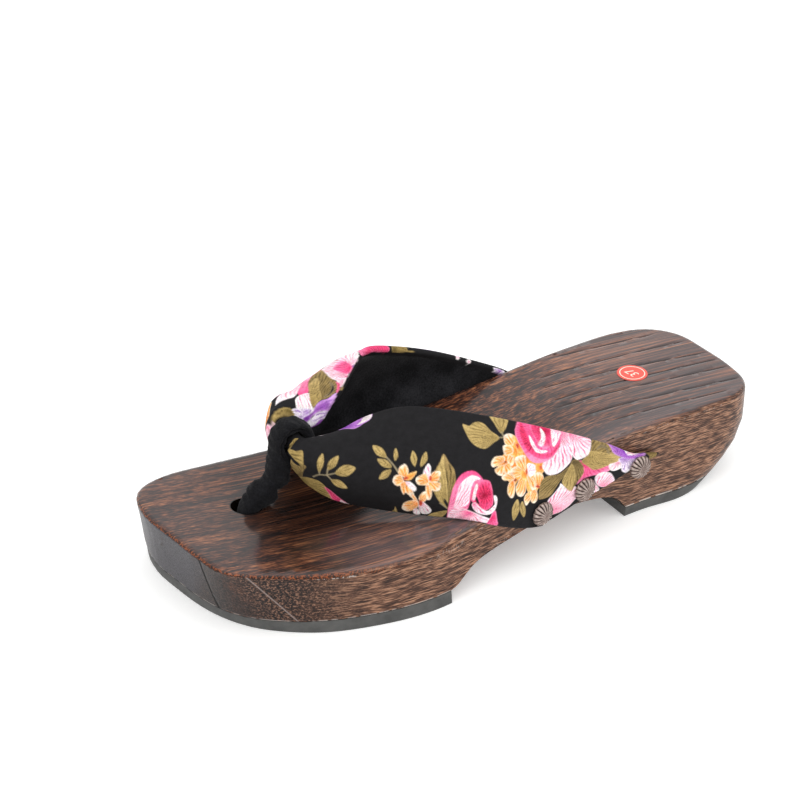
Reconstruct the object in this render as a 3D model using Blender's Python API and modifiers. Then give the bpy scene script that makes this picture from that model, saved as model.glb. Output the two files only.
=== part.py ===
"""Geta sandal for the left foot: carved wooden sole, rubber under it, a stuffed V strap and its toe cord.

Frame: metres, +Z up, toe at -Y, heel at +Y, outer (little toe) side at +X, floor at Z = 0.
The tables below are in millimetres.
"""
import math

import bmesh
import bpy
import numpy as np
from mathutils import Matrix, Vector

MM = 0.001
GAP = 0.3                  # clearance between pieces that touch

FOREFOOT_RUBBER = 5.0      # thickness of the rubber under the forefoot
HEEL_RUBBER = 4.2          # and under the heel
EDGE_ROUND = 2.2           # rounding of the block's upper edge
UNDERCUT_HEIGHT = 23.0     # the heel curves in below this height
UNDERCUT_POWER = 1.7       # how late that curve starts
HEEL_STARTS_AT = 50.0      # y from which the side is the heel's
SIDE_LEVELS = (0.0, 0.16, 0.34, 0.6, 1.0)   # shares of the side's height that get a line of points
ROUND_DEGREES = (30.0, 60.0, 90.0)          # the same for the rounded edge

STRAP_WALL = 3.0           # cloth, stuffing and lining together
STRAP_STEPS = 4            # faces between two rows of the strap table
STRAP_ACROSS = 10          # faces from the strap's upper edge to its lower edge
STRAP_CLEARANCE = 0.5      # from the block to the strap laid on it
STRAP_EASINGS = 3          # how often its lines are averaged where the block's edge presses into them

HOLE_CENTRE = (-12.7, -84.9)
HOLE_RADIUS = 5.8
HOLE_DEPTH = 17.0
HOLE_SIDES = 24
CORD_HALF_WIDTH = 4.2      # the toe cord is a folded strip, wider than it is thick
CORD_HALF_THICK = 2.8      # where it is a single strip, in the ring
CORD_SIDES = 16

TACK_RADIUS = 4.8
TACK_HEIGHT = 2.6
TACK_FLUTES = 14
# Columns: radius and height as shares of the head's, how deep the flutes are cut there.
TACK_PROFILE = ((1.0, 0.0, 0.06), (1.0, 0.25, 0.06), (0.86, 0.62, 0.05), (0.52, 0.9, 0.03))

# Outline of the block, from the toe round the outer side to the heel and back along the inner side.
# Columns: x and y at the upper edge, x and y at floor level.
OUTLINE = (
    (-22.0, -121.3, -27.0, -115.8),
    (-4.0, -118.9, -12.0, -114.2),
    (12.0, -116.4, 2.0, -111.4),
    (22.8, -113.2, 13.8, -106.8),
    (29.6, -104.8, 24.0, -99.8),
    (35.6, -91.5, 33.4, -88.8),
    (40.9, -76.0, 40.2, -76.2),
    (44.6, -60.0, 45.4, -58.5),
    (45.2, -44.0, 47.4, -43.5),
    (43.8, -29.0, 46.4, -29.0),
    (40.2, 0.0, 41.6, 0.0),
    (37.4, 32.0, 36.6, 32.0),
    (36.5, 64.0, 34.8, 61.0),
    (36.2, 88.0, 36.0, 79.0),
    (35.0, 107.0, 33.2, 91.5),
    (27.5, 117.2, 26.0, 100.0),
    (14.0, 120.4, 13.0, 103.4),
    (-2.0, 120.9, -2.0, 104.4),
    (-17.5, 118.8, -15.5, 102.4),
    (-27.8, 110.6, -25.6, 94.5),
    (-31.8, 95.0, -30.0, 82.0),
    (-31.0, 70.0, -30.8, 66.0),
    (-30.4, 40.0, -30.6, 40.0),
    (-34.6, 4.0, -35.2, 4.0),
    (-42.6, -30.0, -43.6, -30.0),
    (-46.4, -60.0, -47.0, -60.0),
    (-47.2, -84.0, -47.4, -84.0),
    (-45.4, -103.0, -46.2, -101.0),
    (-38.0, -116.6, -41.0, -112.6),
)
OUTLINE_STEPS = 4          # faces between two rows of the outline
SIDES_UP_TO = 104.0        # beyond this y, either way, the outline turns round the toe or the heel

# Height of the block's upper face along its length: y, z.
TOP_LINE = (
    (-125.0, 30.8), (-104.0, 28.2), (-85.0, 26.0), (-65.0, 24.8), (-45.0, 24.8), (-28.0, 25.9),
    (-12.0, 28.1), (4.0, 30.8), (20.0, 33.8), (36.0, 36.6), (52.0, 38.4), (72.0, 39.2),
    (98.0, 39.3), (125.0, 39.0),
)
TOP_CUTS = 30              # strips across the upper face

# Underside between forefoot and heel: y, z.
ARCH_LINE = (
    (-33.5, 5.3), (-30.5, 6.2), (-27.0, 8.6), (-22.5, 11.4), (-15.0, 13.4), (-2.0, 15.0),
    (10.0, 16.4), (20.0, 16.8), (31.0, 15.6), (42.0, 13.3), (49.0, 10.2), (54.0, 4.5),
)
ARCH_STEPS = 3
HEEL_FRONT_SLOPE = 0.37    # the heel's front face goes on below the seat at this slope
CUTTER_REACH = 140.0       # how far the cutter runs past the toe
CUTTER_HALF_WIDTH = 70.0
CUTTER_BELOW = 5.0         # and below the floor

# The strap, from its end on the inner side over the point of the V to its end on the outer side.
# Columns: upper edge x, y, z; middle x, y, z; lower edge x, y, z.
# Points that fall inside the block are pressed out onto it.
STRAP = (
    (-28.0, 59.0, 27.0, -28.0, 30.5, 21.9, -28.0, 2.0, 16.8),
    (-28.0, 49.0, 32.5, -29.0, 21.0, 26.2, -30.0, -7.0, 20.0),
    (-31.4, 39.0, 38.4, -35.6, 11.2, 30.6, -38.0, -17.0, 23.5),
    (-35.5, 14.0, 48.9, -43.6, -6.0, 37.6, -44.0, -28.0, 26.4),
    (-37.4, -3.0, 55.0, -45.4, -20.1, 43.4, -45.5, -37.5, 28.2),
    (-35.0, -20.0, 60.6, -43.3, -35.7, 48.5, -42.0, -46.5, 29.2),
    (-26.5, -31.5, 61.3, -36.2, -47.7, 50.3, -35.0, -55.0, 29.8),
    (-19.6, -41.0, 58.8, -29.0, -57.5, 51.0, -27.0, -62.0, 31.0),
    (-16.0, -49.0, 55.0, -24.0, -64.0, 54.0, -21.6, -66.6, 34.6),
    (-15.9, -55.0, 52.4, -19.6, -68.0, 56.0, -18.6, -69.2, 38.0),
    (-16.4, -60.0, 52.4, -17.0, -69.6, 55.4, -17.0, -69.6, 41.6),
    (-15.2, -64.4, 53.2, -15.4, -67.8, 51.6, -15.2, -68.6, 47.0),
    (-12.4, -65.8, 53.2, -12.4, -67.1, 50.6, -12.4, -68.0, 47.8),
    (-7.6, -65.8, 53.2, -7.6, -67.1, 50.6, -7.6, -68.0, 47.8),
    (-4.8, -64.4, 53.0, -4.6, -67.8, 50.8, -4.8, -68.6, 47.0),
    (-3.6, -60.0, 52.0, -3.0, -69.4, 51.4, -3.0, -69.0, 41.6),
    (-3.2, -55.0, 51.8, -0.4, -68.6, 51.6, -1.6, -67.8, 38.2),
    (-1.3, -49.4, 53.2, 4.6, -63.8, 51.2, 1.6, -65.6, 35.0),
    (3.4, -40.6, 58.6, 11.6, -55.4, 49.8, 7.8, -59.4, 31.2),
    (10.5, -31.0, 61.8, 20.4, -44.8, 49.5, 17.5, -48.5, 29.2),
    (18.6, -18.0, 60.4, 29.8, -30.3, 47.9, 28.0, -36.0, 28.2),
    (24.5, 1.5, 54.0, 35.6, -13.3, 44.9, 37.8, -26.0, 27.8),
    (34.5, 23.5, 46.2, 41.2, 4.1, 37.4, 42.0, -16.0, 25.0),
    (38.4, 41.0, 38.8, 39.7, 18.0, 29.6, 40.0, -5.0, 20.5),
    (34.0, 54.0, 31.0, 36.0, 27.8, 24.4, 38.0, 1.5, 17.8),
    (34.0, 64.5, 24.6, 35.0, 36.2, 20.3, 36.0, 8.0, 16.0),
)
POINT_OF_V = (-10.0, -66.9, 50.5)   # middle of the gathered cloth inside the cord's ring

# Heads of the tacks: y, z on each side.
TACKS = {
    "lateral": ((7.6, 22.2), (28.4, 24.4), (55.4, 25.0)),
    "medial": ((5.0, 21.6), (24.0, 24.0), (47.0, 27.6)),
}

# The cord's way from the hole up to its ring: y, z, half its thickness.
POST_LINE = (
    (-84.9, 10.0, 4.6), (-84.9, 23.0, 4.8), (-83.4, 29.6, 5.2), (-79.6, 36.0, 5.8), (-75.4, 41.8, 5.6),
    (-71.8, 46.2, 4.0),
)
POST_STEPS = 3
RING_ALONG = 6.9           # half axes of the ring's middle line, along the shoe and upwards
RING_UP = 7.6
RING_STEPS = 28

COLOURS = {
    "burnt_paulownia": ("4A2F20", 0.42, 0.0),
    "black_rubber": ("3A3A39", 0.75, 0.0),
    "printed_cotton": ("1E1E21", 0.85, 0.0),
    "black_plush": ("121214", 0.95, 0.0),
    "antique_bronze": ("6B5A4C", 0.45, 0.9),
}


def clear_scene():
    for item in list(bpy.data.objects):
        bpy.data.objects.remove(item, do_unlink=True)


def new_collection(name):
    collection = bpy.data.collections.new(name)
    bpy.context.scene.collection.children.link(collection)
    return collection


def linear(hex_colour):
    channels = [int(hex_colour[i:i + 2], 16) / 255.0 for i in (0, 2, 4)]
    return [c / 12.92 if c <= 0.04045 else ((c + 0.055) / 1.055) ** 2.4 for c in channels] + [1.0]


def make_material(name):
    colour, roughness, metallic = COLOURS[name]
    material = bpy.data.materials.new(name)
    material.use_nodes = True
    shader = material.node_tree.nodes["Principled BSDF"]
    shader.inputs["Base Color"].default_value = linear(colour)
    shader.inputs["Roughness"].default_value = roughness
    shader.inputs["Metallic"].default_value = metallic
    return material


def add_object(name, mesh, collection, material=None):
    item = bpy.data.objects.new(name, mesh)
    collection.objects.link(item)
    if material:
        mesh.materials.append(material)
    return item


def mesh_from(name, bm):
    """Scale a bmesh from millimetres to metres and hand it over as a mesh."""
    bmesh.ops.scale(bm, vec=(MM, MM, MM), verts=bm.verts)
    bmesh.ops.recalc_face_normals(bm, faces=bm.faces)
    mesh = bpy.data.meshes.new(name)
    bm.to_mesh(mesh)
    bm.free()
    return mesh


def shade(mesh, angle):
    mesh.shade_smooth()
    mesh.set_sharp_from_angle(angle=math.radians(angle))


def smooth_line(points, steps, closed=False):
    """Catmull-Rom curve through the points, with equal steps between each two of them."""
    points = np.asarray(points, float)
    count = len(points)
    if closed:
        padded = np.vstack([points[-1:], points, points[:2]])
    else:
        padded = np.vstack([2 * points[:1] - points[1:2], points, 2 * points[-1:] - points[-2:-1]])
    spans = count if closed else count - 1
    line = []
    for i in range(spans):
        p0, p1, p2, p3 = padded[i:i + 4]
        for k in range(steps):
            t = k / steps
            line.append(0.5 * (2 * p1 + (p2 - p0) * t + (2 * p0 - 5 * p1 + 4 * p2 - p3) * t ** 2
                               + (3 * p1 - p0 - 3 * p2 + p3) * t ** 3))
    if not closed:
        line.append(points[-1])
    return np.array(line)


outline = smooth_line(OUTLINE, OUTLINE_STEPS, closed=True)
top_line = smooth_line(TOP_LINE, 4)


def top_height(y):
    return np.interp(y, top_line[:, 0], top_line[:, 1])


def lean(y, z):
    """Share of the way from the upper outline to the outline at floor level, at height z."""
    straight = 1.0 - z / top_height(y)
    curved = np.clip(1.0 - z / UNDERCUT_HEIGHT, 0.0, 1.0) ** UNDERCUT_POWER
    return np.where(y > HEEL_STARTS_AT, curved, straight)


def outline_at(z):
    """The outline's points at one height, or at one height for each point."""
    upper, base = outline[:, :2], outline[:, 2:]
    share = lean(upper[:, 1], z)[:, None]
    return upper + (base - upper) * share


def inward_normals(points):
    ahead = np.roll(points, -1, axis=0) - np.roll(points, 1, axis=0)
    normals = np.column_stack([-ahead[:, 1], ahead[:, 0]])
    return normals / np.linalg.norm(normals, axis=1, keepdims=True)


def side_x(y, z, side):
    """X of the block's outer (side 1) or inner (side -1) face at a place along it."""
    ring = outline_at(np.full(len(outline), z))
    half = ring[(ring[:, 0] * side > 0) & (np.abs(ring[:, 1]) < SIDES_UP_TO)]
    half = half[np.argsort(half[:, 1])]
    return float(np.interp(y, half[:, 1], half[:, 0]))


def add_ring(bm, points, heights):
    return [bm.verts.new((p[0], p[1], z)) for p, z in zip(points, heights)]


def bridge(bm, rings, closed=True):
    """Quads between each two neighbouring rings."""
    for low, high in zip(rings[:-1], rings[1:]):
        count = len(low)
        for i in range(count if closed else count - 1):
            j = (i + 1) % count
            bm.faces.new((low[i], low[j], high[j], high[i]))


def cut_away(bm, y, keep):
    """Cut at one y, keep the side that the sign says, and close the cut."""
    geometry = bm.verts[:] + bm.edges[:] + bm.faces[:]
    cut = bmesh.ops.bisect_plane(bm, geom=geometry, dist=1e-5, plane_co=(0, y, 0), plane_no=(0, keep, 0),
                                 clear_inner=True)
    edges = [item for item in cut["geom_cut"] if isinstance(item, bmesh.types.BMEdge)]
    bmesh.ops.edgeloop_fill(bm, edges=edges)


def carve_block():
    """The block before it is cut: side from heel seat to upper edge, rounding, upper face in strips."""
    bm = bmesh.new()
    upper = outline[:, :2]
    crest = top_height(upper[:, 1])
    seat = HEEL_RUBBER + GAP
    rings = []
    for share in SIDE_LEVELS:
        heights = seat + (crest - EDGE_ROUND - seat) * share
        rings.append(add_ring(bm, outline_at(heights), heights))
    inward = inward_normals(upper)
    for degrees in ROUND_DEGREES:
        turn = math.radians(degrees)
        points = upper + inward * EDGE_ROUND * (1.0 - math.cos(turn))
        heights = top_height(points[:, 1]) - EDGE_ROUND * (1.0 - math.sin(turn))
        rings.append(add_ring(bm, points, heights))
    bridge(bm, rings)
    bm.faces.new(rings[0])
    cap = bm.faces.new(rings[-1])
    cap_faces = [cap]
    lowest, highest = upper[:, 1].min(), upper[:, 1].max()
    for k in range(1, TOP_CUTS):
        y = lowest + (highest - lowest) * k / TOP_CUTS
        edges = list({edge for face in cap_faces for edge in face.edges})
        verts = list({vert for face in cap_faces for vert in face.verts})
        cut = bmesh.ops.bisect_plane(bm, geom=verts + edges + cap_faces, dist=1e-4, plane_co=(0, y, 0),
                                     plane_no=(0, 1, 0))
        cap_faces = [face for face in cut["geom"] if isinstance(face, bmesh.types.BMFace)]
    for vert in {vert for face in cap_faces for vert in face.verts}:
        vert.co.z = float(top_height(vert.co.y))
    return mesh_from("wooden_sole", bm)


def arch_cutter(collection):
    """A bar across the block in the shape of everything that is sawn away below."""
    line = [(-CUTTER_REACH, -CUTTER_BELOW), (-CUTTER_REACH, FOREFOOT_RUBBER + GAP)]
    line += [tuple(point) for point in smooth_line(ARCH_LINE, ARCH_STEPS)]
    heel_y, heel_z = ARCH_LINE[-1]
    line.append((heel_y + HEEL_FRONT_SLOPE * (heel_z + CUTTER_BELOW), -CUTTER_BELOW))
    bm = bmesh.new()
    profile = bm.faces.new([bm.verts.new((-CUTTER_HALF_WIDTH, y, z)) for y, z in line])
    grown = bmesh.ops.extrude_face_region(bm, geom=[profile])
    moved = [item for item in grown["geom"] if isinstance(item, bmesh.types.BMVert)]
    bmesh.ops.translate(bm, verts=moved, vec=(2.0 * CUTTER_HALF_WIDTH, 0.0, 0.0))
    return hide(add_object("arch_cutter", mesh_from("arch_cutter", bm), collection))


def hole_cutter(collection):
    """The bore that takes the toe cord, open at the top."""
    top = float(top_height(HOLE_CENTRE[1]))
    bm = bmesh.new()
    bmesh.ops.create_cone(bm, cap_ends=True, segments=HOLE_SIDES, radius1=HOLE_RADIUS, radius2=HOLE_RADIUS,
                          depth=2.0 * HOLE_DEPTH, matrix=Matrix.Translation((*HOLE_CENTRE, top)))
    return hide(add_object("hole_cutter", mesh_from("hole_cutter", bm), collection))


def hide(item):
    item.hide_render = True
    item.display_type = "WIRE"
    return item


def cut_with(item, cutter):
    cut = item.modifiers.new(cutter.name, "BOOLEAN")
    cut.operation = "DIFFERENCE"
    cut.object = cutter


def make_wooden_sole(collection, cutters, material):
    mesh = carve_block()
    item = add_object("wooden_sole", mesh, collection, material)
    cut_with(item, arch_cutter(cutters))
    cut_with(item, hole_cutter(cutters))
    shade(mesh, 35)
    return item


def make_rubber(name, thickness, cut_y, keep, collection, material):
    """A slab in the block's own outline, cut straight across behind the forefoot or before the heel."""
    bm = bmesh.new()
    rings = []
    for z in (0.0, thickness):
        heights = np.full(len(outline), z)
        rings.append(add_ring(bm, outline_at(heights), heights))
    bridge(bm, rings)
    for ring in rings:
        bm.faces.new(ring)
    cut_away(bm, cut_y, keep)
    mesh = mesh_from(name, bm)
    item = add_object(name, mesh, collection, material)
    shade(mesh, 35)
    return item


def pressed_out(point):
    """Keep a point of the strap's middle layer clear of the block by half the wall and the gap."""
    x, y, z = point
    side = 1.0 if x > 0 else -1.0
    reach = EDGE_ROUND + STRAP_CLEARANCE + STRAP_WALL / 2
    out = (x - side_x(y, min(z, float(top_height(y)) - EDGE_ROUND), side)) * side + EDGE_ROUND
    up = z - float(top_height(y)) + EDGE_ROUND
    if up <= 0.0:
        shift = max(reach - out, 0.0)
        return (x + side * shift, y, z)
    if out <= 0.0:
        return (x, y, z + max(reach - up, 0.0))
    distance = math.hypot(out, up)
    if distance >= reach:
        return (x, y, z)
    grow = reach / distance - 1.0
    return (x + side * out * grow, y, z + up * grow)


def strap_grid():
    """Points of the strap's middle layer, one line from upper to lower edge for each step."""
    grid = []
    for row in smooth_line(STRAP, STRAP_STEPS):
        upper, middle, lower = row[:3], row[3:6], row[6:]
        line = []
        for k in range(STRAP_ACROSS + 1):
            t = k / STRAP_ACROSS
            line.append(pressed_out(upper * (1.0 - t) * (1.0 - 2.0 * t) + middle * 4.0 * t * (1.0 - t)
                                    + lower * t * (2.0 * t - 1.0)))
        grid.append(line)
    grid = np.array(grid)
    for _ in range(STRAP_EASINGS):
        grid[1:-1] = (grid[:-2] + 2.0 * grid[1:-1] + grid[2:]) / 4.0
    return [[pressed_out(point) for point in line] for line in grid]


def make_strap(collection, material):
    grid = strap_grid()
    bm = bmesh.new()
    rings = [[bm.verts.new(point) for point in line] for line in grid]
    bridge(bm, rings, closed=False)
    mesh = mesh_from("v_strap", bm)
    item = add_object("v_strap", mesh, collection, material)
    wall = item.modifiers.new("wall", "SOLIDIFY")
    wall.thickness = STRAP_WALL * MM
    wall.offset = 0.0
    shade(mesh, 50)
    return item


def sweep(bm, line, closed):
    """An oval tube round a line in a plane of constant x. Rows: x, y, z, half the thickness."""
    line = np.asarray(line, float)
    if closed:
        ahead = np.roll(line, -1, axis=0) - np.roll(line, 1, axis=0)
    else:
        ahead = np.gradient(line, axis=0)
    rings = []
    for (x, y, z, half_thick), way in zip(line, ahead):
        across = Vector((0.0, -way[2], way[1])).normalized()
        ring = []
        for k in range(CORD_SIDES):
            turn = 2.0 * math.pi * k / CORD_SIDES
            sideways = Vector((math.cos(turn) * CORD_HALF_WIDTH, 0.0, 0.0))
            ring.append(bm.verts.new(Vector((x, y, z)) + sideways + across * math.sin(turn) * half_thick))
        rings.append(ring)
    if closed:
        rings.append(rings[0])
    else:
        bm.faces.new(rings[0])
        bm.faces.new(rings[-1])
    bridge(bm, rings)


def make_toe_cord(collection, cutters, material):
    """A ring round the point of the V, joined to the post that goes down into the hole."""
    centre_x, centre_y, centre_z = POINT_OF_V
    post = smooth_line(POST_LINE, POST_STEPS)
    share = (post[:, 1] - post[0, 1]) / (post[-1, 1] - post[0, 1])
    post_x = HOLE_CENTRE[0] + (centre_x - HOLE_CENTRE[0]) * share
    bm = bmesh.new()
    sweep(bm, np.column_stack([post_x, post]), closed=False)
    post_mesh = mesh_from("toe_cord", bm)
    turns = np.linspace(0.0, 2.0 * math.pi, RING_STEPS, endpoint=False)
    ring_y = centre_y + RING_ALONG * np.cos(turns)
    ring_z = centre_z + RING_UP * np.sin(turns)
    ring_columns = np.full(RING_STEPS, centre_x), ring_y, ring_z, np.full(RING_STEPS, CORD_HALF_THICK)
    bm = bmesh.new()
    sweep(bm, np.column_stack(ring_columns), closed=True)
    ring = hide(add_object("cord_ring", mesh_from("cord_ring", bm), cutters))
    item = add_object("toe_cord", post_mesh, collection, material)
    join = item.modifiers.new("ring", "BOOLEAN")
    join.operation = "UNION"
    join.object = ring
    shade(post_mesh, 50)
    return item


def tack_mesh():
    """Domed head with a fluted rim, resting on z = 0 and looking up."""
    bm = bmesh.new()
    sides = TACK_FLUTES * 2
    rings = []
    for radius, height, depth in TACK_PROFILE:
        ring = []
        for k in range(sides):
            turn = 2.0 * math.pi * k / sides
            reach = TACK_RADIUS * radius * (1.0 - depth * (k % 2))
            ring.append(bm.verts.new((reach * math.cos(turn), reach * math.sin(turn), TACK_HEIGHT * height)))
        rings.append(ring)
    bridge(bm, rings)
    bm.faces.new(rings[0])
    tip = bm.verts.new((0.0, 0.0, TACK_HEIGHT))
    for k in range(sides):
        bm.faces.new((rings[-1][k], rings[-1][(k + 1) % sides], tip))
    return mesh_from("tack", bm)


def make_tacks(collection, material):
    """Three heads on each side, flat on the strap."""
    stand_off = STRAP_CLEARANCE + STRAP_WALL + GAP
    for side_name, side in (("lateral", 1.0), ("medial", -1.0)):
        for number, (y, z) in enumerate(TACKS[side_name], start=1):
            mesh = tack_mesh()
            item = add_object(f"tack_{side_name}_{number}", mesh, collection, material)
            rise = side_x(y + TACK_RADIUS, z, side) - side_x(y - TACK_RADIUS, z, side)
            slope = rise / (2.0 * TACK_RADIUS)
            facing = Vector((side, -slope * side, 0.0)).normalized()
            seat = Vector((side_x(y, z, side), y, z)) + facing * stand_off
            item.location = seat * MM
            item.rotation_euler = facing.to_track_quat("Z", "Y").to_euler()
            shade(mesh, 30)


def main():
    clear_scene()
    shoe = new_collection("geta_sandal")
    cutters = new_collection("cutters")
    materials = {name: make_material(name) for name in COLOURS}
    make_wooden_sole(shoe, cutters, materials["burnt_paulownia"])
    rubber = materials["black_rubber"]
    make_rubber("forefoot_rubber", FOREFOOT_RUBBER, ARCH_LINE[0][0], -1.0, shoe, rubber)
    make_rubber("heel_rubber", HEEL_RUBBER, ARCH_LINE[-1][0], 1.0, shoe, rubber)
    make_strap(shoe, materials["printed_cotton"])
    make_toe_cord(shoe, cutters, materials["black_plush"])
    make_tacks(shoe, materials["antique_bronze"])


main()
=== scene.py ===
import bpy
import math
import numpy as np
from contextlib import contextmanager
from functools import partial
from mathutils import Matrix, Vector
from mathutils.bvhtree import BVHTree


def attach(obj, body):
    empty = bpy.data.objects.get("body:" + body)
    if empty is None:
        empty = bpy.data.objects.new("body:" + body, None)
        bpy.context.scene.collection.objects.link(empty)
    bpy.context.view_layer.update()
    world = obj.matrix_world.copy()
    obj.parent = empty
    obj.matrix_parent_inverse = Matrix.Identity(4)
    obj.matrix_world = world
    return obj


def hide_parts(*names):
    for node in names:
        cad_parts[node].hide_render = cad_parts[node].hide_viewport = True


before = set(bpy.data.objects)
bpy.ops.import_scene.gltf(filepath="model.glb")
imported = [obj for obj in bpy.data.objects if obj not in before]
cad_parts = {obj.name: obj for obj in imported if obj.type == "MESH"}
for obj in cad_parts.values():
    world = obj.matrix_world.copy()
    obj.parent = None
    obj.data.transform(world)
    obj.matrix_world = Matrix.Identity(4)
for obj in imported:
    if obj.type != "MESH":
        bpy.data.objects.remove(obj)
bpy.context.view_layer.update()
mm = 0.001  # the frame is in metres
print("frame loaded")


def fromHex(code):
    # sRGB hex to the linear colour that the nodes want
    parts = [int(code[i:i + 2], 16) / 255 for i in (0, 2, 4)]
    return tuple(p / 12.92 if p <= 0.04045 else ((p + 0.055) / 1.055) ** 2.4 for p in parts) + (1.0,)


def fillSockets(tree, node, inputs):
    # A dictionary fills the sockets that it names, and a row fills the live ones in their order.
    # What goes in is a plain value, a socket, or a node whose first live output is meant.
    live = [socket for socket in node.inputs if socket.enabled]
    named = isinstance(inputs, dict)
    for name, value in inputs.items() if named else enumerate(inputs):
        socket = node.inputs[name] if named else live[name]
        if isinstance(value, bpy.types.Node):
            value = next(output for output in value.outputs if output.enabled)
        if isinstance(value, bpy.types.NodeSocket):
            tree.links.new(value, socket)
        else:
            socket.default_value = value


def fillRamp(ramp, stops):
    while len(ramp.elements) < len(stops):
        ramp.elements.new(0.5)
    for element, (place, code) in zip(ramp.elements, stops):
        element.position = place
        element.color = fromHex(code)


def addNode(tree, kind, inputs=(), **settings):
    # adds one node with its settings and links
    node = tree.nodes.new("ShaderNode" + kind)
    if "stops" in settings:
        fillRamp(node.color_ramp, settings.pop("stops"))
    for name, value in settings.items():
        setattr(node, name, value)
    fillSockets(tree, node, inputs)
    return node


def newMaterial(name):
    # gives the material, what adds a node to it, and what fills its shader
    material = bpy.data.materials.new(name)
    material.use_nodes = True
    tree = material.node_tree
    return material, partial(addNode, tree), partial(fillSockets, tree, tree.nodes["Principled BSDF"])


def deselectAll():
    if bpy.context.object and bpy.context.object.mode != "OBJECT":
        bpy.ops.object.mode_set(mode="OBJECT")
    bpy.ops.object.select_all(action="DESELECT")


def focus(piece):
    deselectAll()
    piece.select_set(True)
    bpy.context.view_layer.objects.active = piece


@contextmanager
def editing(piece, everything=True):
    # edit mode, with all of the piece selected or with what was picked before
    focus(piece)
    bpy.ops.object.mode_set(mode="EDIT")
    if everything:
        bpy.ops.mesh.select_all(action="SELECT")
    yield
    bpy.ops.object.mode_set(mode="OBJECT")


def startPiece(operator, name, **settings):
    # a primitive or a text to start a piece from
    deselectAll()
    operator(**settings)
    piece = bpy.context.object
    piece.name = name
    return piece


def applyModifier(piece, kind, **settings):
    focus(piece)
    modifier = piece.modifiers.new(kind.lower(), kind)
    for name, value in settings.items():
        setattr(modifier, name, value)
    bpy.ops.object.modifier_apply(modifier=modifier.name)


def turnOutwards():
    bpy.ops.mesh.select_all(action="SELECT")
    bpy.ops.mesh.normals_make_consistent(inside=False)


def closeMesh(piece, apart):
    # merges doubles, closes the open ends, and turns the faces outwards
    with editing(piece):
        bpy.ops.mesh.remove_doubles(threshold=apart)
        bpy.ops.mesh.select_all(action="DESELECT")
        bpy.ops.mesh.select_non_manifold(extend=False, use_wire=False, use_multi_face=False,
                                         use_non_contiguous=False, use_verts=False)
        bpy.ops.mesh.fill_holes(sides=0)
        turnOutwards()


def copyNode(nodeName, name):
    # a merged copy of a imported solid, to be worked further
    piece = bpy.data.objects.new(name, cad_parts[nodeName].data.copy())
    bpy.context.scene.collection.objects.link(piece)
    piece.data.materials.clear()
    with editing(piece):
        bpy.ops.mesh.remove_doubles(threshold=0.02 * mm)
    return piece


def meshRow(items, name):
    # one vector of every vertex or face, in rows of three
    values = np.empty(len(items) * 3, np.float32)
    items.foreach_get(name, values)
    return values.reshape(-1, 3).astype(float)


def meshPoints(piece):
    return meshRow(piece.data.vertices, "co")


def meshNormals(piece):
    return meshRow(piece.data.vertices, "normal")


def setPoints(piece, points):
    piece.data.vertices.foreach_set("co", np.asarray(points, np.float32).ravel())
    piece.data.update()


def addAttribute(piece, name, kind, field, values):
    attribute = piece.data.attributes.new(name, kind, "POINT")
    attribute.data.foreach_set(field, np.asarray(values, np.float32).ravel())


def finishPiece(piece, material, slotName, *replacedNodes):
    piece.data.materials.clear()
    piece.data.materials.append(material)
    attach(piece, "root")
    if replacedNodes:
        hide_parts(*replacedNodes)


def smoothLine(points, steps, closed=False):
    # Catmull-Rom curve through the points, with so many steps from one to the next
    points = np.asarray(points, float)
    if closed:
        longer = np.concatenate([points[-1:], points, points[:2]])
    else:
        longer = np.concatenate([2 * points[:1] - points[1:2], points, 2 * points[-1:] - points[-2:-1]])
    t = (np.arange(steps) / steps).reshape((steps,) + (1,) * (points.ndim - 1))
    line = []
    for i in range(len(longer) - 3):
        p0, p1, p2, p3 = longer[i:i + 4]
        line.append(0.5 * (2 * p1 + (p2 - p0) * t + (2 * p0 - 5 * p1 + 4 * p2 - p3) * t ** 2
                           + (3 * p1 - p0 - 3 * p2 + p3) * t ** 3))
    line = np.concatenate(line)
    return line if closed else np.concatenate([line, points[-1:]])


def softStep(low, high, value):
    # 0 below, 1 above, and eased between
    t = np.clip((value - low) / (high - low), 0, 1)
    return t * t * (3 - 2 * t)


# The stage and the camera.
studio = {
    "cameraPlace": (0.4842, -0.3248, 0.39063),
    "lookAlong": (-0.8516, 0.5243),  # level direction of the view
    "lookDown": 30.22,  # degrees
    "lens": 81.0,
    "floorColour": "F7F7F6",
    "floorGlow": 0.25,  # lit from below, as a light table is
    "worldColour": "FFFFFF",
    "worldStrength": 0.92,
    # softboxes: place, size in metres, strength in watts
    "lights": (
        ((0.7, -0.9, 1.3), 1.2, 5.0),
        ((1.1, 0.5, 1.1), 1.2, 4.0),
        ((0.0, -0.1, 1.6), 1.4, 5.0),
    ),
    "lightsFace": (0.0, 0.0, 0.02),
}


def paperSweep():
    # White background paper: a matt sheet with nothing to see on it.
    material, add, fillShader = newMaterial("paperSweep")
    fillShader({"Base Color": fromHex(studio["floorColour"]), "Roughness": 0.9,
                "Emission Color": fromHex("FFFFFF"), "Emission Strength": studio["floorGlow"]})
    return material


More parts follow.
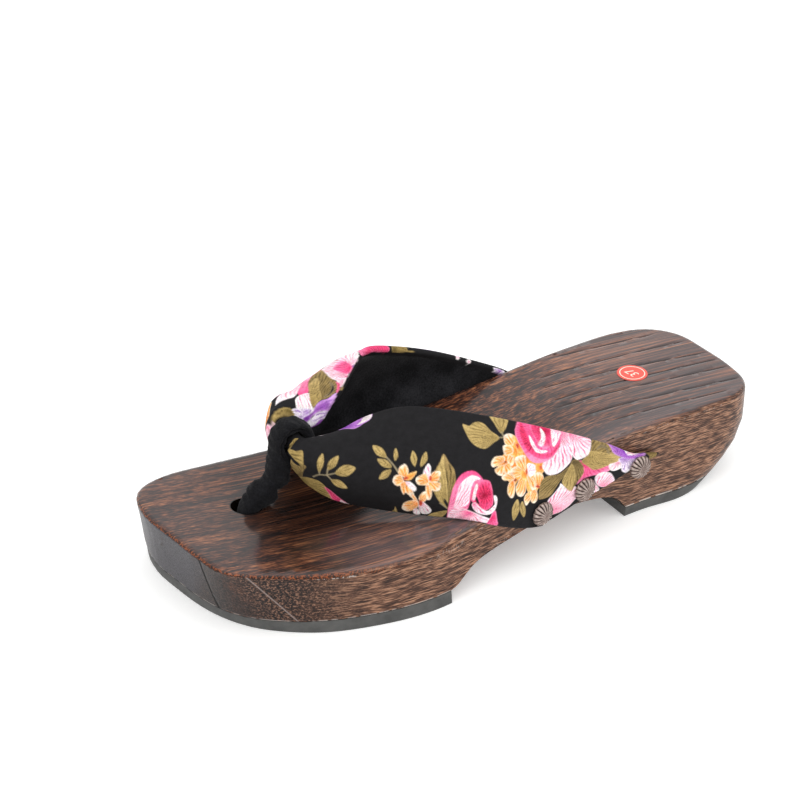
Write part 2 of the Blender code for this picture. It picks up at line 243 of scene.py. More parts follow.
def makeStudio():
    floor = startPiece(bpy.ops.mesh.primitive_plane_add, "floor", size=6.0, location=(0, 0, -0.0002))
    floor.data.materials.append(paperSweep())
    down = math.radians(studio["lookDown"])
    level = Vector((*studio["lookAlong"], 0)).normalized()
    look = level * math.cos(down) + Vector((0, 0, -math.sin(down)))
    bpy.ops.object.camera_add(location=studio["cameraPlace"])
    camera = bpy.context.object
    camera.rotation_euler = look.to_track_quat("-Z", "Y").to_euler()
    camera.data.lens = studio["lens"]
    camera.data.sensor_width = 36
    camera.data.clip_start = 0.01
    bpy.context.scene.camera = camera
    for place, size, power in studio["lights"]:
        bpy.ops.object.light_add(type="AREA", location=place)
        light = bpy.context.object
        light.data.size = size
        light.data.energy = power
        facing = Vector(studio["lightsFace"]) - Vector(place)
        light.rotation_euler = facing.to_track_quat("-Z", "Y").to_euler()
    world = bpy.data.worlds.new("studioAir")
    bpy.context.scene.world = world
    world.use_nodes = True
    back = world.node_tree.nodes["Background"]
    back.inputs["Color"].default_value = fromHex(studio["worldColour"])
    back.inputs["Strength"].default_value = studio["worldStrength"]
    bpy.context.scene.view_settings.view_transform = "Standard"


makeStudio()
print("studio ready")

# The wooden block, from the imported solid, cut finer so that its surface can be worked.
block = {
    "cutStep": (2.4, 4.0, 3.2),  # mm between cuts along x, y and z
    "carving": 0.14,  # mm, how far the carved faces wander
    "hole": (-12.7, -84.9),  # mm, the middle of the cord's hole
    "calmHole": (9, 16),  # mm from it: no carving, and all of it
    "calmFoot": (5.5, 9),  # mm above the floor: no carving, and all of it
    "upright": 0.7,  # a face whose normal rises more than this counts as upper face
    "onCut": 0.03,  # mm, a point this near to a cut lies on it
    # saw-thin grooves of the heel, from x y to x y in mm; they follow the grain
    "grooves": (
        (-26.5, 62.0, -21.0, 109.0), (-17.5, 46.0, -9.5, 116.0), (-10.5, 44.0, 2.4, 118.5),
        (-0.5, 41.0, 9.0, 119.0), (4.7, 42.0, 16.0, 118.5), (15.2, 44.0, 25.5, 116.5),
        (24.8, 52.0, 31.0, 106.0),
    ),
    "grooveHalf": 0.65,  # mm to either side
    "grooveDeep": 0.55,  # mm
    "grooveEnds": ((-2, 6), (-4, 1)),  # mm from start and end, where a groove gets deep and shallow again
    "heelStart": 36.0,  # mm, the grooves are cut only behind this
    # the flat of the toe end, greyed as a painted floor reflection, stops at a crease: place along x, half
    # width and depth in mm
    "toeCrease": (12.1, 0.6, 0.5),
    "toeStart": -100.0,  # mm, the crease is cut only in front of this
    "hard": 32,  # degrees, edges above this stay sharp
    # colours of the grain by how hard it is, burnt soft grain first
    "topTones": ((0.4, "0D0705"), (0.46, "26140E"), (0.51, "4C2A1C"), (0.56, "78482F"), (0.63, "AC7047")),
    "sideTones": ((0.38, "2A1A14"), (0.47, "4C3226"), (0.54, "785441"), (0.62, "A87E63")),
    "speckleTones": ((0.44, "140C0A"), (0.5, "2C1C17"), (0.56, "50362B"), (0.62, "84624F")),
    "endTones": ((0.42, "140E0D"), (0.52, "291D1A"), (0.66, "4C3930")),
    # the grey tones of the toe end's flat are a painted reflection of the floor
    "greyTones": ((0.38, "232226"), (0.62, "434048")),
    "rimTones": ((0.42, "1A0C06"), (0.5, "4E220E"), (0.6, "8E4A22")),
    # the grain: whether it curls, how fine it is along x, y and z per metre, detail and roughness
    "grain": {
        "fine": ("bent", (1750.0, 16.0, 1750.0), 2.0, 0.55),  # fibres 0.6 mm wide and 35 mm long
        "strips": ("bent", (820.0, 9.0, 820.0), 2.0, 0.55),  # 1.2 mm wide
        "bands": ("bent", (170.0, 9.0, 170.0), 2.0, 0.55),  # 6 mm wide
        "shorts": ("bent", (1900.0, 260.0, 1900.0), 2.0, 0.6),  # short dashes under the toes
        "ends": ("bent", (1600.0, 1100.0, 1600.0), 3.0, 0.65),  # speckle of 0.7 mm across the grain
        "dashes": ("curled", (480.0, 190.0, 2600.0), 2.0, 0.6),  # 0.5 mm high and 10 mm long, on the sides
        "layers": ("curled", (120.0, 40.0, 700.0), 1.0, 0.5),
        "chipNoise": ("place", (1100.0, 1100.0, 500.0), 2.0, 0.5),
    },
    # masks with soft ends: what they read, from where to where (metres, or how far a face looks that
    # way), and what they give there
    "softMasks": {
        "sideShare": ("sideways", 0.55, 0.8, 0.0, 1.0),
        "endShare": ("endways", 0.5, 0.85, 0.0, 1.0),
        "toeward": ("y", -0.094, -0.06, 1.0, 0.0),
        # the next mask darkens the wood under the strap's point: painted shade and a painted dark reflection
        # of the strap
        "soot": ("sootFar", 0.25, 1.0, 0.34, 1.0),
        # the next five masks place a painted grey sheen on the lacquer: at the heel, near the outer edge, on
        # upward faces and at the toes
        "heelward": ("y", 0.0, 0.09, 0.0, 0.16),
        "edgeward": ("x", 0.008, 0.034, 0.0, 0.22),
        "backward": ("y", -0.09, -0.055, 0.0, 1.0),
        "upness": ("up", 0.7, 0.95, 0.0, 1.0),
        "toeHaze": ("y", -0.108, -0.075, 0.06, 0.0),
        # the next mask darkens the walls of the cord's hole as painted shade
        "charred": ("holeFar", 0.0058, 0.0066, 0.1, 1.0),
        # the next two masks place the toe end's flat, greyed as a painted reflection of the floor
        "upTo": ("x", 0.0118, 0.0124, 0.85, 0.0),
        "flat": ("back", -0.97, -0.93, 1.0, 0.0),
        "rimLow": ("up", 0.12, 0.35, 0.0, 1.0),
        "rimHigh": ("up", 0.8, 0.93, 0.85, 0.0),
        "atToes": ("y", -0.085, -0.045, 1.0, 0.15),
        # the next three masks place painted glints in dashes along the lower border of the upper edge's
        # rounding
        "lipLow": ("up", 0.1, 0.16, 0.0, 1.0),
        "lipHigh": ("up", 0.2, 0.26, 1.0, 0.0),
        "chipped": ("chipNoise", 0.5, 0.6, 0.0, 0.55),
        "some": ("stretches", 0.46, 0.54, 0.0, 1.0),
        "offToe": ("y", -0.09, -0.08, 0.0, 1.0),
        # the next two masks place a broken painted highlight line just above the rubber
        "seam": ("level", 0.0051, 0.0058, 0.9, 0.0),
        "broken": ("glueNoise", 0.46, 0.54, 0.0, 1.0),
        "burnt": ("groove", 0.1, 0.7, 0.0, 0.9),
        "lacquer": ("up", 0.3, 0.8, 0.35, 1.0),
    },
    "straightMasks": {
        "shortShare": ("y", -0.1, -0.06, 0.38, 0.12),
        # the next mask darkens a thin line along the toe crease as painted shade
        "creaseLine": ("creaseFar", 0.0003, 0.0008, 0.9, 0.0),
        "atToeEnd": ("y", -0.104, -0.1, 1.0, 0.0),
        "upright": ("up", 0.5, 0.7, 1.0, 0.0),
        "scratchLine": ("slantFar", 0.0001, 0.00035, 0.6, 0.0),
        "outerToe": ("x", 0.02, 0.022, 0.0, 1.0),
        "fewer": ("y", -0.056, -0.05, 1.0, 0.3),
    },
    # masks made of others
    "joinedMasks": {
        # the next three give where the painted grey sheen lies
        "outerHaze": ("MULTIPLY", "edgeward", "backward"),
        "milky": ("MAXIMUM", "heelward", "outerHaze", "toeHaze"),
        "haze": ("MULTIPLY", "milky", "upness"),
        # the toe end's flat, greyed as a painted floor reflection
        "scraped": ("MULTIPLY", "upTo", "flat"),
        # the crease line, darkened as painted shade
        "crease": ("MULTIPLY", "creaseLine", "atToeEnd", "upright"),
        "scratch": ("MULTIPLY", "scratchLine", "outerToe", "upright"),
        "rim": ("MULTIPLY", "rimLow", "rimHigh", "atToes"),
        "lip": ("MULTIPLY", "lipLow", "lipHigh"),
        # painted glints along the edge
        "chips": ("MULTIPLY", "chipped", "lip", "some", "offToe", "fewer"),
        # a painted highlight line above the rubber
        "glue": ("MULTIPLY", "seam", "broken"),
        # the painted glints and the painted highlight line together
        "pale": ("MAXIMUM", "chips", "glue"),
    },
}


def cutFiner(piece, steps):
    low = Vector(piece.bound_box[0])
    high = Vector(piece.bound_box[6])
    with editing(piece):
        for axis in range(3):
            normal = Vector((axis == 0, axis == 1, axis == 2))
            count = int((high[axis] - low[axis]) / (steps[axis] * mm))
            for k in range(1, count + 1):
                place = normal * (low[axis] + (high[axis] - low[axis]) * (k - 0.5) / count)
                bpy.ops.mesh.select_all(action="SELECT")
                bpy.ops.mesh.bisect(plane_co=place, plane_no=normal)


def cutWhere(piece, chosen, place, across):
    # one cut through the chosen faces
    piece.data.polygons.foreach_set("select", chosen)
    piece.data.update()
    with editing(piece, everything=False):
        bpy.ops.mesh.bisect(plane_co=place, plane_no=across)


def sawGrooves(piece):
    # three cuts for each groove, and the middle one goes down; how deep is kept for the finish
    for x0, y0, x1, y1 in block["grooves"]:
        across = Vector((y1 - y0, x0 - x1, 0)).normalized()
        for off in (-1, 0, 1):
            faces = piece.data.polygons
            heelTop = meshRow(faces, "normal")[:, 2] > block["upright"]
            heelTop &= meshRow(faces, "center")[:, 1] > block["heelStart"] * mm
            place = Vector((x0, y0, 0)) * mm + across * off * block["grooveHalf"] * mm
            cutWhere(piece, heelTop, place, across)
    points, normals = meshPoints(piece), meshNormals(piece)
    begins, ends = block["grooveEnds"]
    deep = np.zeros(len(points))
    for x0, y0, x1, y1 in block["grooves"]:
        run = np.array([x1 - x0, y1 - y0])
        length = np.linalg.norm(run)
        away = points[:, :2] / mm - (x0, y0)
        ahead = away @ run / length
        off = np.abs(away @ np.array([run[1], -run[0]]) / length)
        fade = softStep(*begins, ahead) * (1 - softStep(*ends, ahead - length))
        deep = np.maximum(deep, (off < block["onCut"]) * fade * (normals[:, 2] > block["upright"]))
    points[:, 2] -= deep * block["grooveDeep"] * mm
    setPoints(piece, points)
    addAttribute(piece, "groove", "FLOAT", "value", deep)


def carveFaces(piece):
    # the plane and the scraper leave the faces slightly wavy, the flat underside stays flat
    points, normals = meshPoints(piece), meshNormals(piece)
    x, y, z = (points / mm).T
    wave = (np.sin(x / 7.1 + 0.6 * np.sin(y / 19.0)) * np.sin(y / 23.0 + x / 41.0)
            + 0.6 * np.sin(x / 4.3 + y / 31.0 + 1.0) + 0.5 * np.sin(z / 3.7 + y / 17.0))
    toRing = np.hypot(x - block["hole"][0], y - block["hole"][1])
    amount = block["carving"] * softStep(*block["calmHole"], toRing) * softStep(*block["calmFoot"], z)
    points += normals * (wave * amount * (normals[:, 2] > -0.2) * mm)[:, None]
    setPoints(piece, points)


def cutToeCrease(piece):
    # three upright cuts through the toe end, the middle one goes in
    place, half, deep = block["toeCrease"]
    for off in (-half, 0, half):
        toeEnd = meshRow(piece.data.polygons, "center")[:, 1] < block["toeStart"] * mm
        cutWhere(piece, toeEnd, ((place + off) * mm, 0, 0), (1, 0, 0))
    points, normals = meshPoints(piece), meshNormals(piece)
    x, y, z = (points / mm).T
    inside = (np.abs(x - place) < block["onCut"]) & (y < block["toeStart"])
    inside &= (normals[:, 2] < 0.5) & (normals[:, 2] > -0.7)
    points[inside, 1] += deep * mm
    setPoints(piece, points)


def burntPaulownia():
    # Scorched and brushed paulownia under clear lacquer: the soft grain is burnt dark, the hard grain stays
    # red-brown, end grain turns to speckle, and the upper edge is rubbed to bright wood.
    material, add, fillShader = newMaterial("burntPaulownia")
    place = add("TexCoord").outputs["Object"]
    facing = add("SeparateXYZ", (add("NewGeometry").outputs["Normal"],)).outputs
    spot = add("SeparateXYZ", (place,)).outputs
    read = {"place": place, "x": spot[0], "y": spot[1], "z": spot[2], "back": facing[1], "up": facing[2]}
    read["sideways"] = add("Math", (facing[0],), operation="ABSOLUTE")
    read["endways"] = add("Math", (facing[1],), operation="ABSOLUTE")

    # the grain runs 5 degrees off the shoe's length and bends slowly; on the sides it curls a little too
    turned = add("Mapping", {0: place, "Rotation": (0.02, 0.0, math.radians(5))})
    bend = add("TexNoise", (place, 13.0, 1.0, 0.4)).outputs["Color"]
    centred = add("VectorMath", (bend, (0.5, 0.5, 0.5)), operation="SUBTRACT")
    slight = add("VectorMath", (centred, (0.006, 0.0, 0.006)), operation="MULTIPLY")
    read["bent"] = add("VectorMath", (turned, slight), operation="ADD")
    swirlSpot = add("Mapping", {0: read["bent"], "Scale": (30.0, 30.0, 50.0)})
    swirl = add("TexNoise", (swirlSpot, 1.0, 1.0)).outputs["Color"]
    lift = add("VectorMath", (swirl, (0.0, 0.0, 0.004)), operation="MULTIPLY")
    read["curled"] = add("VectorMath", (read["bent"], lift), operation="ADD")
    for name, (base, scale, detail, roughness) in block["grain"].items():
        grainSpot = add("Mapping", {0: read[base], "Scale": scale})
        read[name] = add("TexNoise", (grainSpot, 1.0, detail, roughness))
        if name == "bands":
            read["stretches"] = add("TexNoise", (grainSpot, 0.8, 0.0))
    read["glueNoise"] = add("TexNoise", (place, 260.0, 2.0))
    read["groove"] = add("Attribute", attribute_name="groove").outputs["Fac"]

    # how far it is to the painted shade under the strap's point, to the hole, and to the crease of the toe
    # end
    holeAt = (-block["hole"][0] * mm, -block["hole"][1] * mm, 0.0)
    creaseAt = (-block["toeCrease"][0] * mm, 0.0, 0.0)
    for name, shift, scale in (("sootFar", (-0.1, 1.55, 0.0), (28.0, 22.0, 0.0)),
                               ("holeFar", holeAt, (1.0, 1.0, 0.0)),
                               ("creaseFar", creaseAt, (1.0, 0.0, 0.0))):
        around = add("Mapping", {0: place, "Location": shift, "Scale": scale})
        read[name] = add("VectorMath", (around,), operation="LENGTH")
    # a scratch lies on the curve of the toe end, and the seam of the rubber rises towards the heel
    slant = add("VectorMath", (place, (0.0, 0.797, 0.604)), operation="DOT_PRODUCT")
    slantFar = add("Math", (slant, 0.0681), operation="ADD")
    read["slantFar"] = add("Math", (slantFar,), operation="ABSOLUTE")
    heelRise = add("MapRange", (spot[1], 0.0, 0.01, 0.0, 0.0005))
    read["level"] = add("Math", (spot[2], heelRise), operation="ADD")

    masks = {}
    for curve, kind in (("SMOOTHSTEP", "softMasks"), ("LINEAR", "straightMasks")):
        for name, (what, *ends) in block[kind].items():
            masks[name] = add("MapRange", (read[what], *ends), interpolation_type=curve)
    for name, (operation, first, *others) in block["joinedMasks"].items():
        masks[name] = masks[first]
        for other in others:
            masks[name] = add("Math", (masks[name], masks[other]), operation=operation)

    # the grain of the three sides of a board, and its colours
    fibres = add("Mix", (0.35, read["fine"], read["strips"]))
    fibres = add("Mix", (masks["shortShare"], fibres, read["shorts"]))
    top = add("Mix", (0.26, fibres, read["bands"]))
    side = add("Mix", (0.15, read["dashes"], read["layers"]))
    ends = read["ends"]
    topOrSide = add("Mix", (masks["sideShare"], top, side))
    grain = add("Mix", (masks["endShare"], topOrSide, ends))
    tones = {}
    for name, level in (("top", top), ("side", side), ("end", ends), ("speckle", ends), ("grey", ends),
                        ("rim", add("TexNoise", (read["bent"], 1500.0, 2.0)))):
        tones[name] = add("ValToRGB", (level,), stops=block[name + "Tones"])
    # towards the toes the side shows more and more end grain
    sideTone = add("Mix", (masks["toeward"], tones["side"], tones["speckle"]), data_type="RGBA")
    tone = add("Mix", (masks["sideShare"], tones["top"], sideTone), data_type="RGBA")
    tone = add("Mix", (masks["endShare"], tone, tones["end"]), data_type="RGBA")

    # painted shade and a painted dark reflection of the strap darken the wood round the cord's foot, a
    # painted grey sheen lies on the heel, at the toes and near the outer edge, and the walls of the hole are
    # darkened as painted shade
    tone = add("VectorMath", (tone, masks["soot"]), operation="MULTIPLY")
    tone = add("Mix", (masks["haze"], tone, fromHex("A39698")), data_type="RGBA")
    tone = add("VectorMath", (tone, masks["charred"]), operation="MULTIPLY")
    # over that, each on the one before: the toe end's flat greyed as a painted floor reflection, the crease
    # darkened as painted shade, the scratch, the upper edge rubbed in dots, painted glints along the lower
    # border of the edge, a broken painted highlight line above the rubber, and the burnt grooves
    for name, cover in (("scraped", tones["grey"]), ("crease", fromHex("0C0909")),
                        ("scratch", fromHex("9A8A84")), ("rim", tones["rim"]),
                        ("pale", fromHex("CFC6BF")), ("burnt", fromHex("1A0C07"))):
        tone = add("Mix", (masks[name], tone, cover), data_type="RGBA")
    # the lacquer is thick on the upper face and rubbed thin on the sides
    fillShader({"Base Color": tone, "Coat Weight": masks["lacquer"],
                "Normal": add("Bump", {"Height": grain, "Strength": 0.5, "Distance": 0.0004}),
                "Coat Normal": add("Bump", {"Height": grain, "Strength": 0.16, "Distance": 0.0003}),
                "Roughness": 0.55, "Specular IOR Level": 0.1, "Coat Roughness": 0.14, "Coat IOR": 1.42})
    return material


def carveBlock():
    piece = copyNode("wooden_sole", "woodenBlock")
    cutFiner(piece, block["cutStep"])
    carveFaces(piece)
    sawGrooves(piece)
    cutToeCrease(piece)
    focus(piece)
    bpy.ops.object.shade_smooth_by_angle(angle=math.radians(block["hard"]))
    finishPiece(piece, burntPaulownia(), "burnt_paulownia", "wooden_sole")
    return piece


woodenBlock = carveBlock()
print("block carved", len(woodenBlock.data.polygons))


# The rubber slabs under forefoot and heel.
tread = {
    "cutStep": (4.0, 4.0, 6.0),  # mm
    "edgeRound": 0.5,  # mm
    "hard": 40,  # degrees, edges above this stay sharp
    "rounded": 50,  # degrees, edges above this are rounded
    "tones": ((0.3, "3A3A39"), (0.7, "50504E")),
}


def blackRubber():
    # Vulcanised rubber, matt charcoal from the mould, slightly mottled.
    material, add, fillShader = newMaterial("vulcanisedRubber")
    place = add("TexCoord").outputs["Object"]
    cloud = add("TexNoise", (place, 160.0, 4.0, 0.6))
    pits = add("TexNoise", (place, 1400.0, 3.0))
    fillShader({"Base Color": add("ValToRGB", (cloud,), stops=tread["tones"]), "Roughness": 0.62,
                "Normal": add("Bump", {"Height": pits, "Strength": 0.4, "Distance": 0.0002})})
    return material


def makeRubber(nodeName, name, material):
    piece = copyNode(nodeName, name)
    cutFiner(piece, tread["cutStep"])
    applyModifier(piece, "BEVEL", width=tread["edgeRound"] * mm, segments=2, limit_method="ANGLE",
                  angle_limit=math.radians(tread["rounded"]))
    bpy.ops.object.shade_smooth_by_angle(angle=math.radians(tread["hard"]))
    finishPiece(piece, material, "black_rubber", nodeName)


rubberFinish = blackRubber()
makeRubber("forefoot_rubber", "forefootRubber", rubberFinish)
makeRubber("heel_rubber", "heelRubber", rubberFinish)
print("rubber laid")


def printedCotton():
    # Printed cotton sateen, drawn tight over stuffing: a close weave, dry, with a slight bloom.
    material, add, fillShader = newMaterial("printedCotton")
    plane = add("Attribute", attribute_name="clothPlane").outputs["Vector"]
    dye = add("Attribute", attribute_name="dye").outputs["Color"]
    # threads every 0.35 mm, coarser than the real 0.2 mm so that they show
    threads = {"Vector": plane, "Scale": 2.86, "Distortion": 0.3}
    warp, weft = (add("TexWave", threads, bands_direction=way).outputs["Fac"] for way in "XY")
    cross = add("Math", (warp, weft), operation="MULTIPLY")
    # slubs of the yarn and grey lint
    slub = add("TexNoise", (plane, 0.35, 4.0, 0.65))
    grey = add("TexNoise", (plane, 2.4, 3.0, 0.7))
    lint = add("Math", (slub, grey), operation="ADD")
    tone = add("MapRange", (lint, 0.7, 1.3, 0.6, 1.4))
    fillShader({"Base Color": add("VectorMath", (dye, tone), operation="MULTIPLY"),
                "Normal": add("Bump", {"Height": cross, "Strength": 0.35, "Distance": 0.00012}),
                "Roughness": 0.85, "Specular IOR Level": 0.22})
    return material


def blackVelvet():
    # Cotton velvet lining: upright black pile that swallows light.
    material, add, fillShader = newMaterial("cottonVelvet")
    place = add("TexCoord").outputs["Object"]
    pile = add("TexNoise", (place, 1500.0, 3.0, 0.7))
    brushed = add("TexNoise", (place, 90.0, 2.0))
    both = add("Math", (pile, brushed), operation="MULTIPLY")
    fillShader({"Base Color": add("ValToRGB", (both,), stops=((0.15, "111113"), (0.4, "303033"))),
                "Normal": add("Bump", {"Height": pile, "Strength": 0.5, "Distance": 0.0003}),
                "Roughness": 1.0, "Specular IOR Level": 0.1, "Sheen Weight": 0.2, "Sheen Roughness": 0.4})
    return material


cotton = printedCotton()
velvet = blackVelvet()


# The stuffed strap: two halves that meet under the toe cord.
strap = {
    # sections from the inner end to the outer end: six points across, from the upper edge to the lower
    # one, x y z each in mm
    "rows": (
        (-32.5, 59, 27, -32.3, 47.6, 25, -32.8, 36.2, 22.9,
         -33.9, 24.8, 20.9, -35.3, 13.4, 18.8, -37.3, 2, 16.8),
        (-32, 49, 31.8, -32.6, 37.9, 29.9, -33.6, 26.7, 27.4,
         -35, 15.4, 24.9, -36.8, 4.2, 22.5, -39.3, -7.1, 20),
        (-32.2, 37.9, 39.2, -34.1, 27, 35.6, -35.6, 16.1, 32.3,
         -37.1, 5.1, 29.3, -39, -5.9, 25.9, -41.7, -17.1, 22.3),
        (-36.1, 15.2, 49.9, -39.8, 7, 44.9, -42.3, -1.3, 40,
         -43.9, -10, 35.3, -44.4, -18.8, 30.1, -43.5, -28.2, 23.6),
        (-37.9, -2.8, 56.6, -41.9, -9.7, 51.8, -44.5, -16.8, 46.3,
         -45.9, -23.7, 40.6, -46, -30.7, 33.4, -44.4, -38, 24.2),
        (-35.2, -19, 61.8, -39.8, -26.5, 57.3, -42.5, -32.9, 51.8,
         -43.5, -38, 45, -43.2, -42.7, 36.5, -41, -47, 25.7),
        (-26.2, -30.5, 61.3, -32.3, -38.9, 58.7, -36.2, -45.4, 54.4,
         -37.5, -50, 47.7, -37.1, -53.2, 38.9, -34.4, -55.2, 27.5),
        (-18.7, -39.8, 58, -25.7, -48.8, 58.5, -30, -55.6, 55.8,
         -31, -59.7, 49.7, -29.9, -61.8, 41.2, -27.2, -61.9, 30.7),
        (-15, -47.7, 54.4, -21.6, -56.2, 58.6, -25.5, -62.7, 58.1,
         -25.9, -66.1, 53.3, -24.6, -67.4, 45.3, -21.7, -66.5, 34.6),
        (-14.5, -51.8, 50.2, -18.5, -59.9, 57.3, -19.9, -66.1, 58,
         -20.2, -68.7, 54.8, -19.8, -69.9, 47.9, -18.7, -69.1, 38),
        (-14.9, -57.8, 48.9, -17.1, -63.3, 56, -18, -68.4, 57.2,
         -17.7, -70.2, 54.5, -17.4, -70.7, 49.4, -17, -69.5, 41.8),
        (-14.6, -62.8, 49.8, -15.1, -65.4, 52.6, -15.3, -67.2, 52.6,
         -15.3, -68.3, 51.1, -15.3, -68.7, 49.2, -15.2, -68.6, 46.7),
        (-12.3, -64.6, 50.6, -12.3, -66, 52.2, -12.3, -67.4, 51.9,
         -12.3, -68.2, 50.6, -12.3, -68.6, 49, -12.3, -68.3, 47.2),
        (-7.7, -64.6, 50.6, -7.7, -66, 52.2, -7.7, -67.4, 51.9,
         -7.7, -68.2, 50.6, -7.7, -68.6, 49, -7.7, -68.3, 47.2),
        (-4.6, -63.4, 50.9, -4.6, -66.1, 52, -4.7, -67.4, 51.4,
         -4.7, -68.3, 50.2, -4.7, -68.7, 48.6, -4.8, -68.6, 46.7),
        (-3.1, -60.4, 50.7, -2.9, -65.2, 52, -2.8, -68.3, 51.9,
         -2.9, -70, 50.2, -3, -70.1, 47, -3.4, -68.6, 42.6),
        (-2.6, -55.3, 50.9, -1.1, -62.2, 52.6, -0.4, -66.9, 52.4,
         -0.2, -69.4, 49.9, -0.6, -69.4, 45.6, -1.9, -67.1, 39.4),
        (-0.8, -49.4, 52.9, 2.4, -56.6, 53.9, 4.2, -61.7, 52.7,
         4.8, -65, 49, 3.9, -66, 43.4, 1.5, -64.8, 35.7),
        (3.4, -40.5, 58.7, 8.1, -47.8, 56.3, 11, -53.3, 52.4,
         11.9, -57, 47, 10.8, -58.8, 39.9, 6.6, -58.3, 30.9),
        (10.1, -30.5, 62.6, 15.8, -37.3, 58.4, 19.4, -42.5, 52.8,
         20.9, -46.1, 46, 19.9, -47.9, 38.1, 14.9, -46.8, 28.1),
        (17.8, -17.3, 61.2, 24, -23.2, 56.9, 28.2, -28.1, 51.2,
         30.2, -31.9, 44.5, 29.8, -34.4, 36.8, 25.2, -34.5, 26.9),
        (24.5, 1.9, 54.7, 30.1, -4.5, 51.5, 34.2, -10.5, 47.3,
         36.8, -16, 41.8, 37.6, -21, 35.1, 34.9, -24.4, 26.8),
        (33.7, 23.4, 47.1, 37.2, 15.6, 43.7, 39.8, 7.8, 39.7,
         41.4, 0, 35.2, 42, -7.9, 30.4, 43.5, -15.4, 25.6),
        (38.3, 40.8, 38.9, 39.2, 31.6, 35.2, 40.1, 22.4, 31.6,
         40.9, 13.2, 28, 42, 3.9, 24.3, 43.3, -5.3, 20.6),
        (38.9, 53.7, 30.6, 38.6, 43.4, 28.4, 39.1, 33, 25.8,
         40, 22.5, 23.1, 41.2, 12, 20.5, 42.6, 1.6, 17.8),
        (38, 66.1, 26.7, 38.2, 53.8, 23.9, 38.4, 41.9, 21.2,
         39.2, 30.6, 19.4, 40.4, 19.3, 17.7, 41.8, 8, 16),
    ),
    "pointRow": 12.5,  # the middle of the cord's ring, counted in rows
    "rowSteps": 24,  # lines from one row to the next, and points from one to the next across
    "gap": 0.05,  # mm, where the outer half starts behind that middle
    "wall": 3.0,  # mm at the edges
    "stuffing": 1.2,  # mm more inwards in the middle
    "fullness": 0.7,  # below 1 the stuffing stands fuller than a bow
    "thinFrom": 20.0,  # mm over which it gets flat where the strap reaches the block
    "endRound": 0.55,  # share that the wall loses at its ends
    "easings": 12,  # how often the middle line is smoothed
    "freeSpan": 55.0,  # mm from the point; farther on the strap lies against the block
    "offWood": 0.12,  # mm
    "alongStep": 0.34,  # mm between lines
    "outerFaces": 120,
    "innerFaces": 30,
    "rimFaces": 8,
    "foldedIn": 2.6,  # mm of the printed cover that goes over the edge to the inside
    "gathers": (0.5, 11.0, 3.4),  # depth in mm, how far they reach, how many across
    "wave": 0.22,  # mm, slow unevenness of the stuffing
    "tackPull": (0.4, 5.6, 1.8),  # depth in mm of the dimple, its radius and its width
    # a short deep fold at the point: from and to as along and height in mm, depth and half width
    "fold": ((5.5, -4.0), (8.7, -5.0), 1.3, 0.8),
    # the print
    "ground": "19181A",
    "margin": 0.6,  # mm round a motif that its dye may reach
    "bleed": 0.18,  # mm that a dye fades over on either side of its outline
    "stemWidth": (0.1, 0.42),  # mm from the middle of a stem: full dye, and no dye
    "stemShare": 0.8,
}


def strapLayer():
    # lines of the middle layer at even distances, with their distance along the strap
    rows = np.array(strap["rows"]).reshape(-1, 6, 3)
    lines = smoothLine(rows, strap["rowSteps"])
    centre = lines.mean(axis=1)
    run = np.concatenate([[0], np.cumsum(np.linalg.norm(np.diff(centre, axis=0), axis=1))])
    return lines, run - run[int(strap["pointRow"] * strap["rowSteps"])]


def resample(lines, run, wanted):
    flat = lines.reshape(len(lines), -1)
    out = np.column_stack([np.interp(wanted, run, flat[:, k]) for k in range(flat.shape[1])])
    return out.reshape((len(wanted),) + lines.shape[1:])


def eased(values, times):
    for _ in range(times):
        values[1:-1] = (values[:-2] + 2 * values[1:-1] + values[2:]) / 4
    return values


def sectionPlan():
    # round the closed section: which side, how far across, how far out
    half = strap["wall"] / 2
    plan = [("outer", k / strap["outerFaces"], half) for k in range(strap["outerFaces"])]
    turns = [math.pi * k / strap["rimFaces"] for k in range(strap["rimFaces"])]
    plan += [("low", half * math.sin(turn), half * math.cos(turn)) for turn in turns]
    plan += [("inner", 1 - k / strap["innerFaces"], -half) for k in range(strap["innerFaces"])]
    plan += [("high", half * math.sin(turn), -half * math.cos(turn)) for turn in turns]
    return plan


def clothRelief(along, share, height, points):
    # how far the cover stands out or in, in mm: gathers at the point, slow waves, pulls round the tacks
    depth, reach, count = strap["gathers"]
    relief = depth * np.exp(-np.abs(along) / reach) * np.sin(2 * np.pi * (count * share + along / 60))
    relief = relief * softStep(1.5, 5, np.abs(along))
    slow = np.sin(along / 7.3 + 5 * share) * np.sin(along / 11.9 - 7 * share + 1)
    slow = slow + 0.5 * np.sin(along / 3.9 + 9 * share)
    relief = relief + strap["wave"] * slow * softStep(0, 12, np.abs(along))
    (fromAlong, fromHeight), (toAlong, toHeight), depth, wide = strap["fold"]
    run = np.array([toAlong - fromAlong, toHeight - fromHeight])
    place = np.clip(((along - fromAlong) * run[0] + (height - fromHeight) * run[1]) / (run @ run), 0, 1)
    off = np.hypot(along - fromAlong - place * run[0], height - fromHeight - place * run[1])
    relief = relief - depth * (1 - 0.6 * place) * np.exp(-(off / wide) ** 2)
    depth, radius, wide = strap["tackPull"]
    for name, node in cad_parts.items():
        if name.startswith("tack_"):
            tackPlace = meshPoints(node).mean(axis=0) / mm
            far = np.linalg.norm(points - tackPlace, axis=2)
            relief = relief - depth * np.exp(-((far - radius) / wide) ** 2)
    return relief


def keepOffWood(points, along):
    # the cloth that lies against the block is pressed flat on it
    wood = BVHTree.FromObject(woodenBlock, bpy.context.evaluated_depsgraph_get())
    for j in np.nonzero(np.abs(along) > strap["freeSpan"])[0]:
        for k in range(strap["outerFaces"], len(points)):
            point = Vector(points[k, j] * mm)
            spot, normal, _, _ = wood.find_nearest(point, 2 * mm)
            if spot is not None and (point - spot).dot(normal) < strap["offWood"] * mm:
                points[k, j] = np.array(spot + normal * strap["offWood"] * mm) / mm


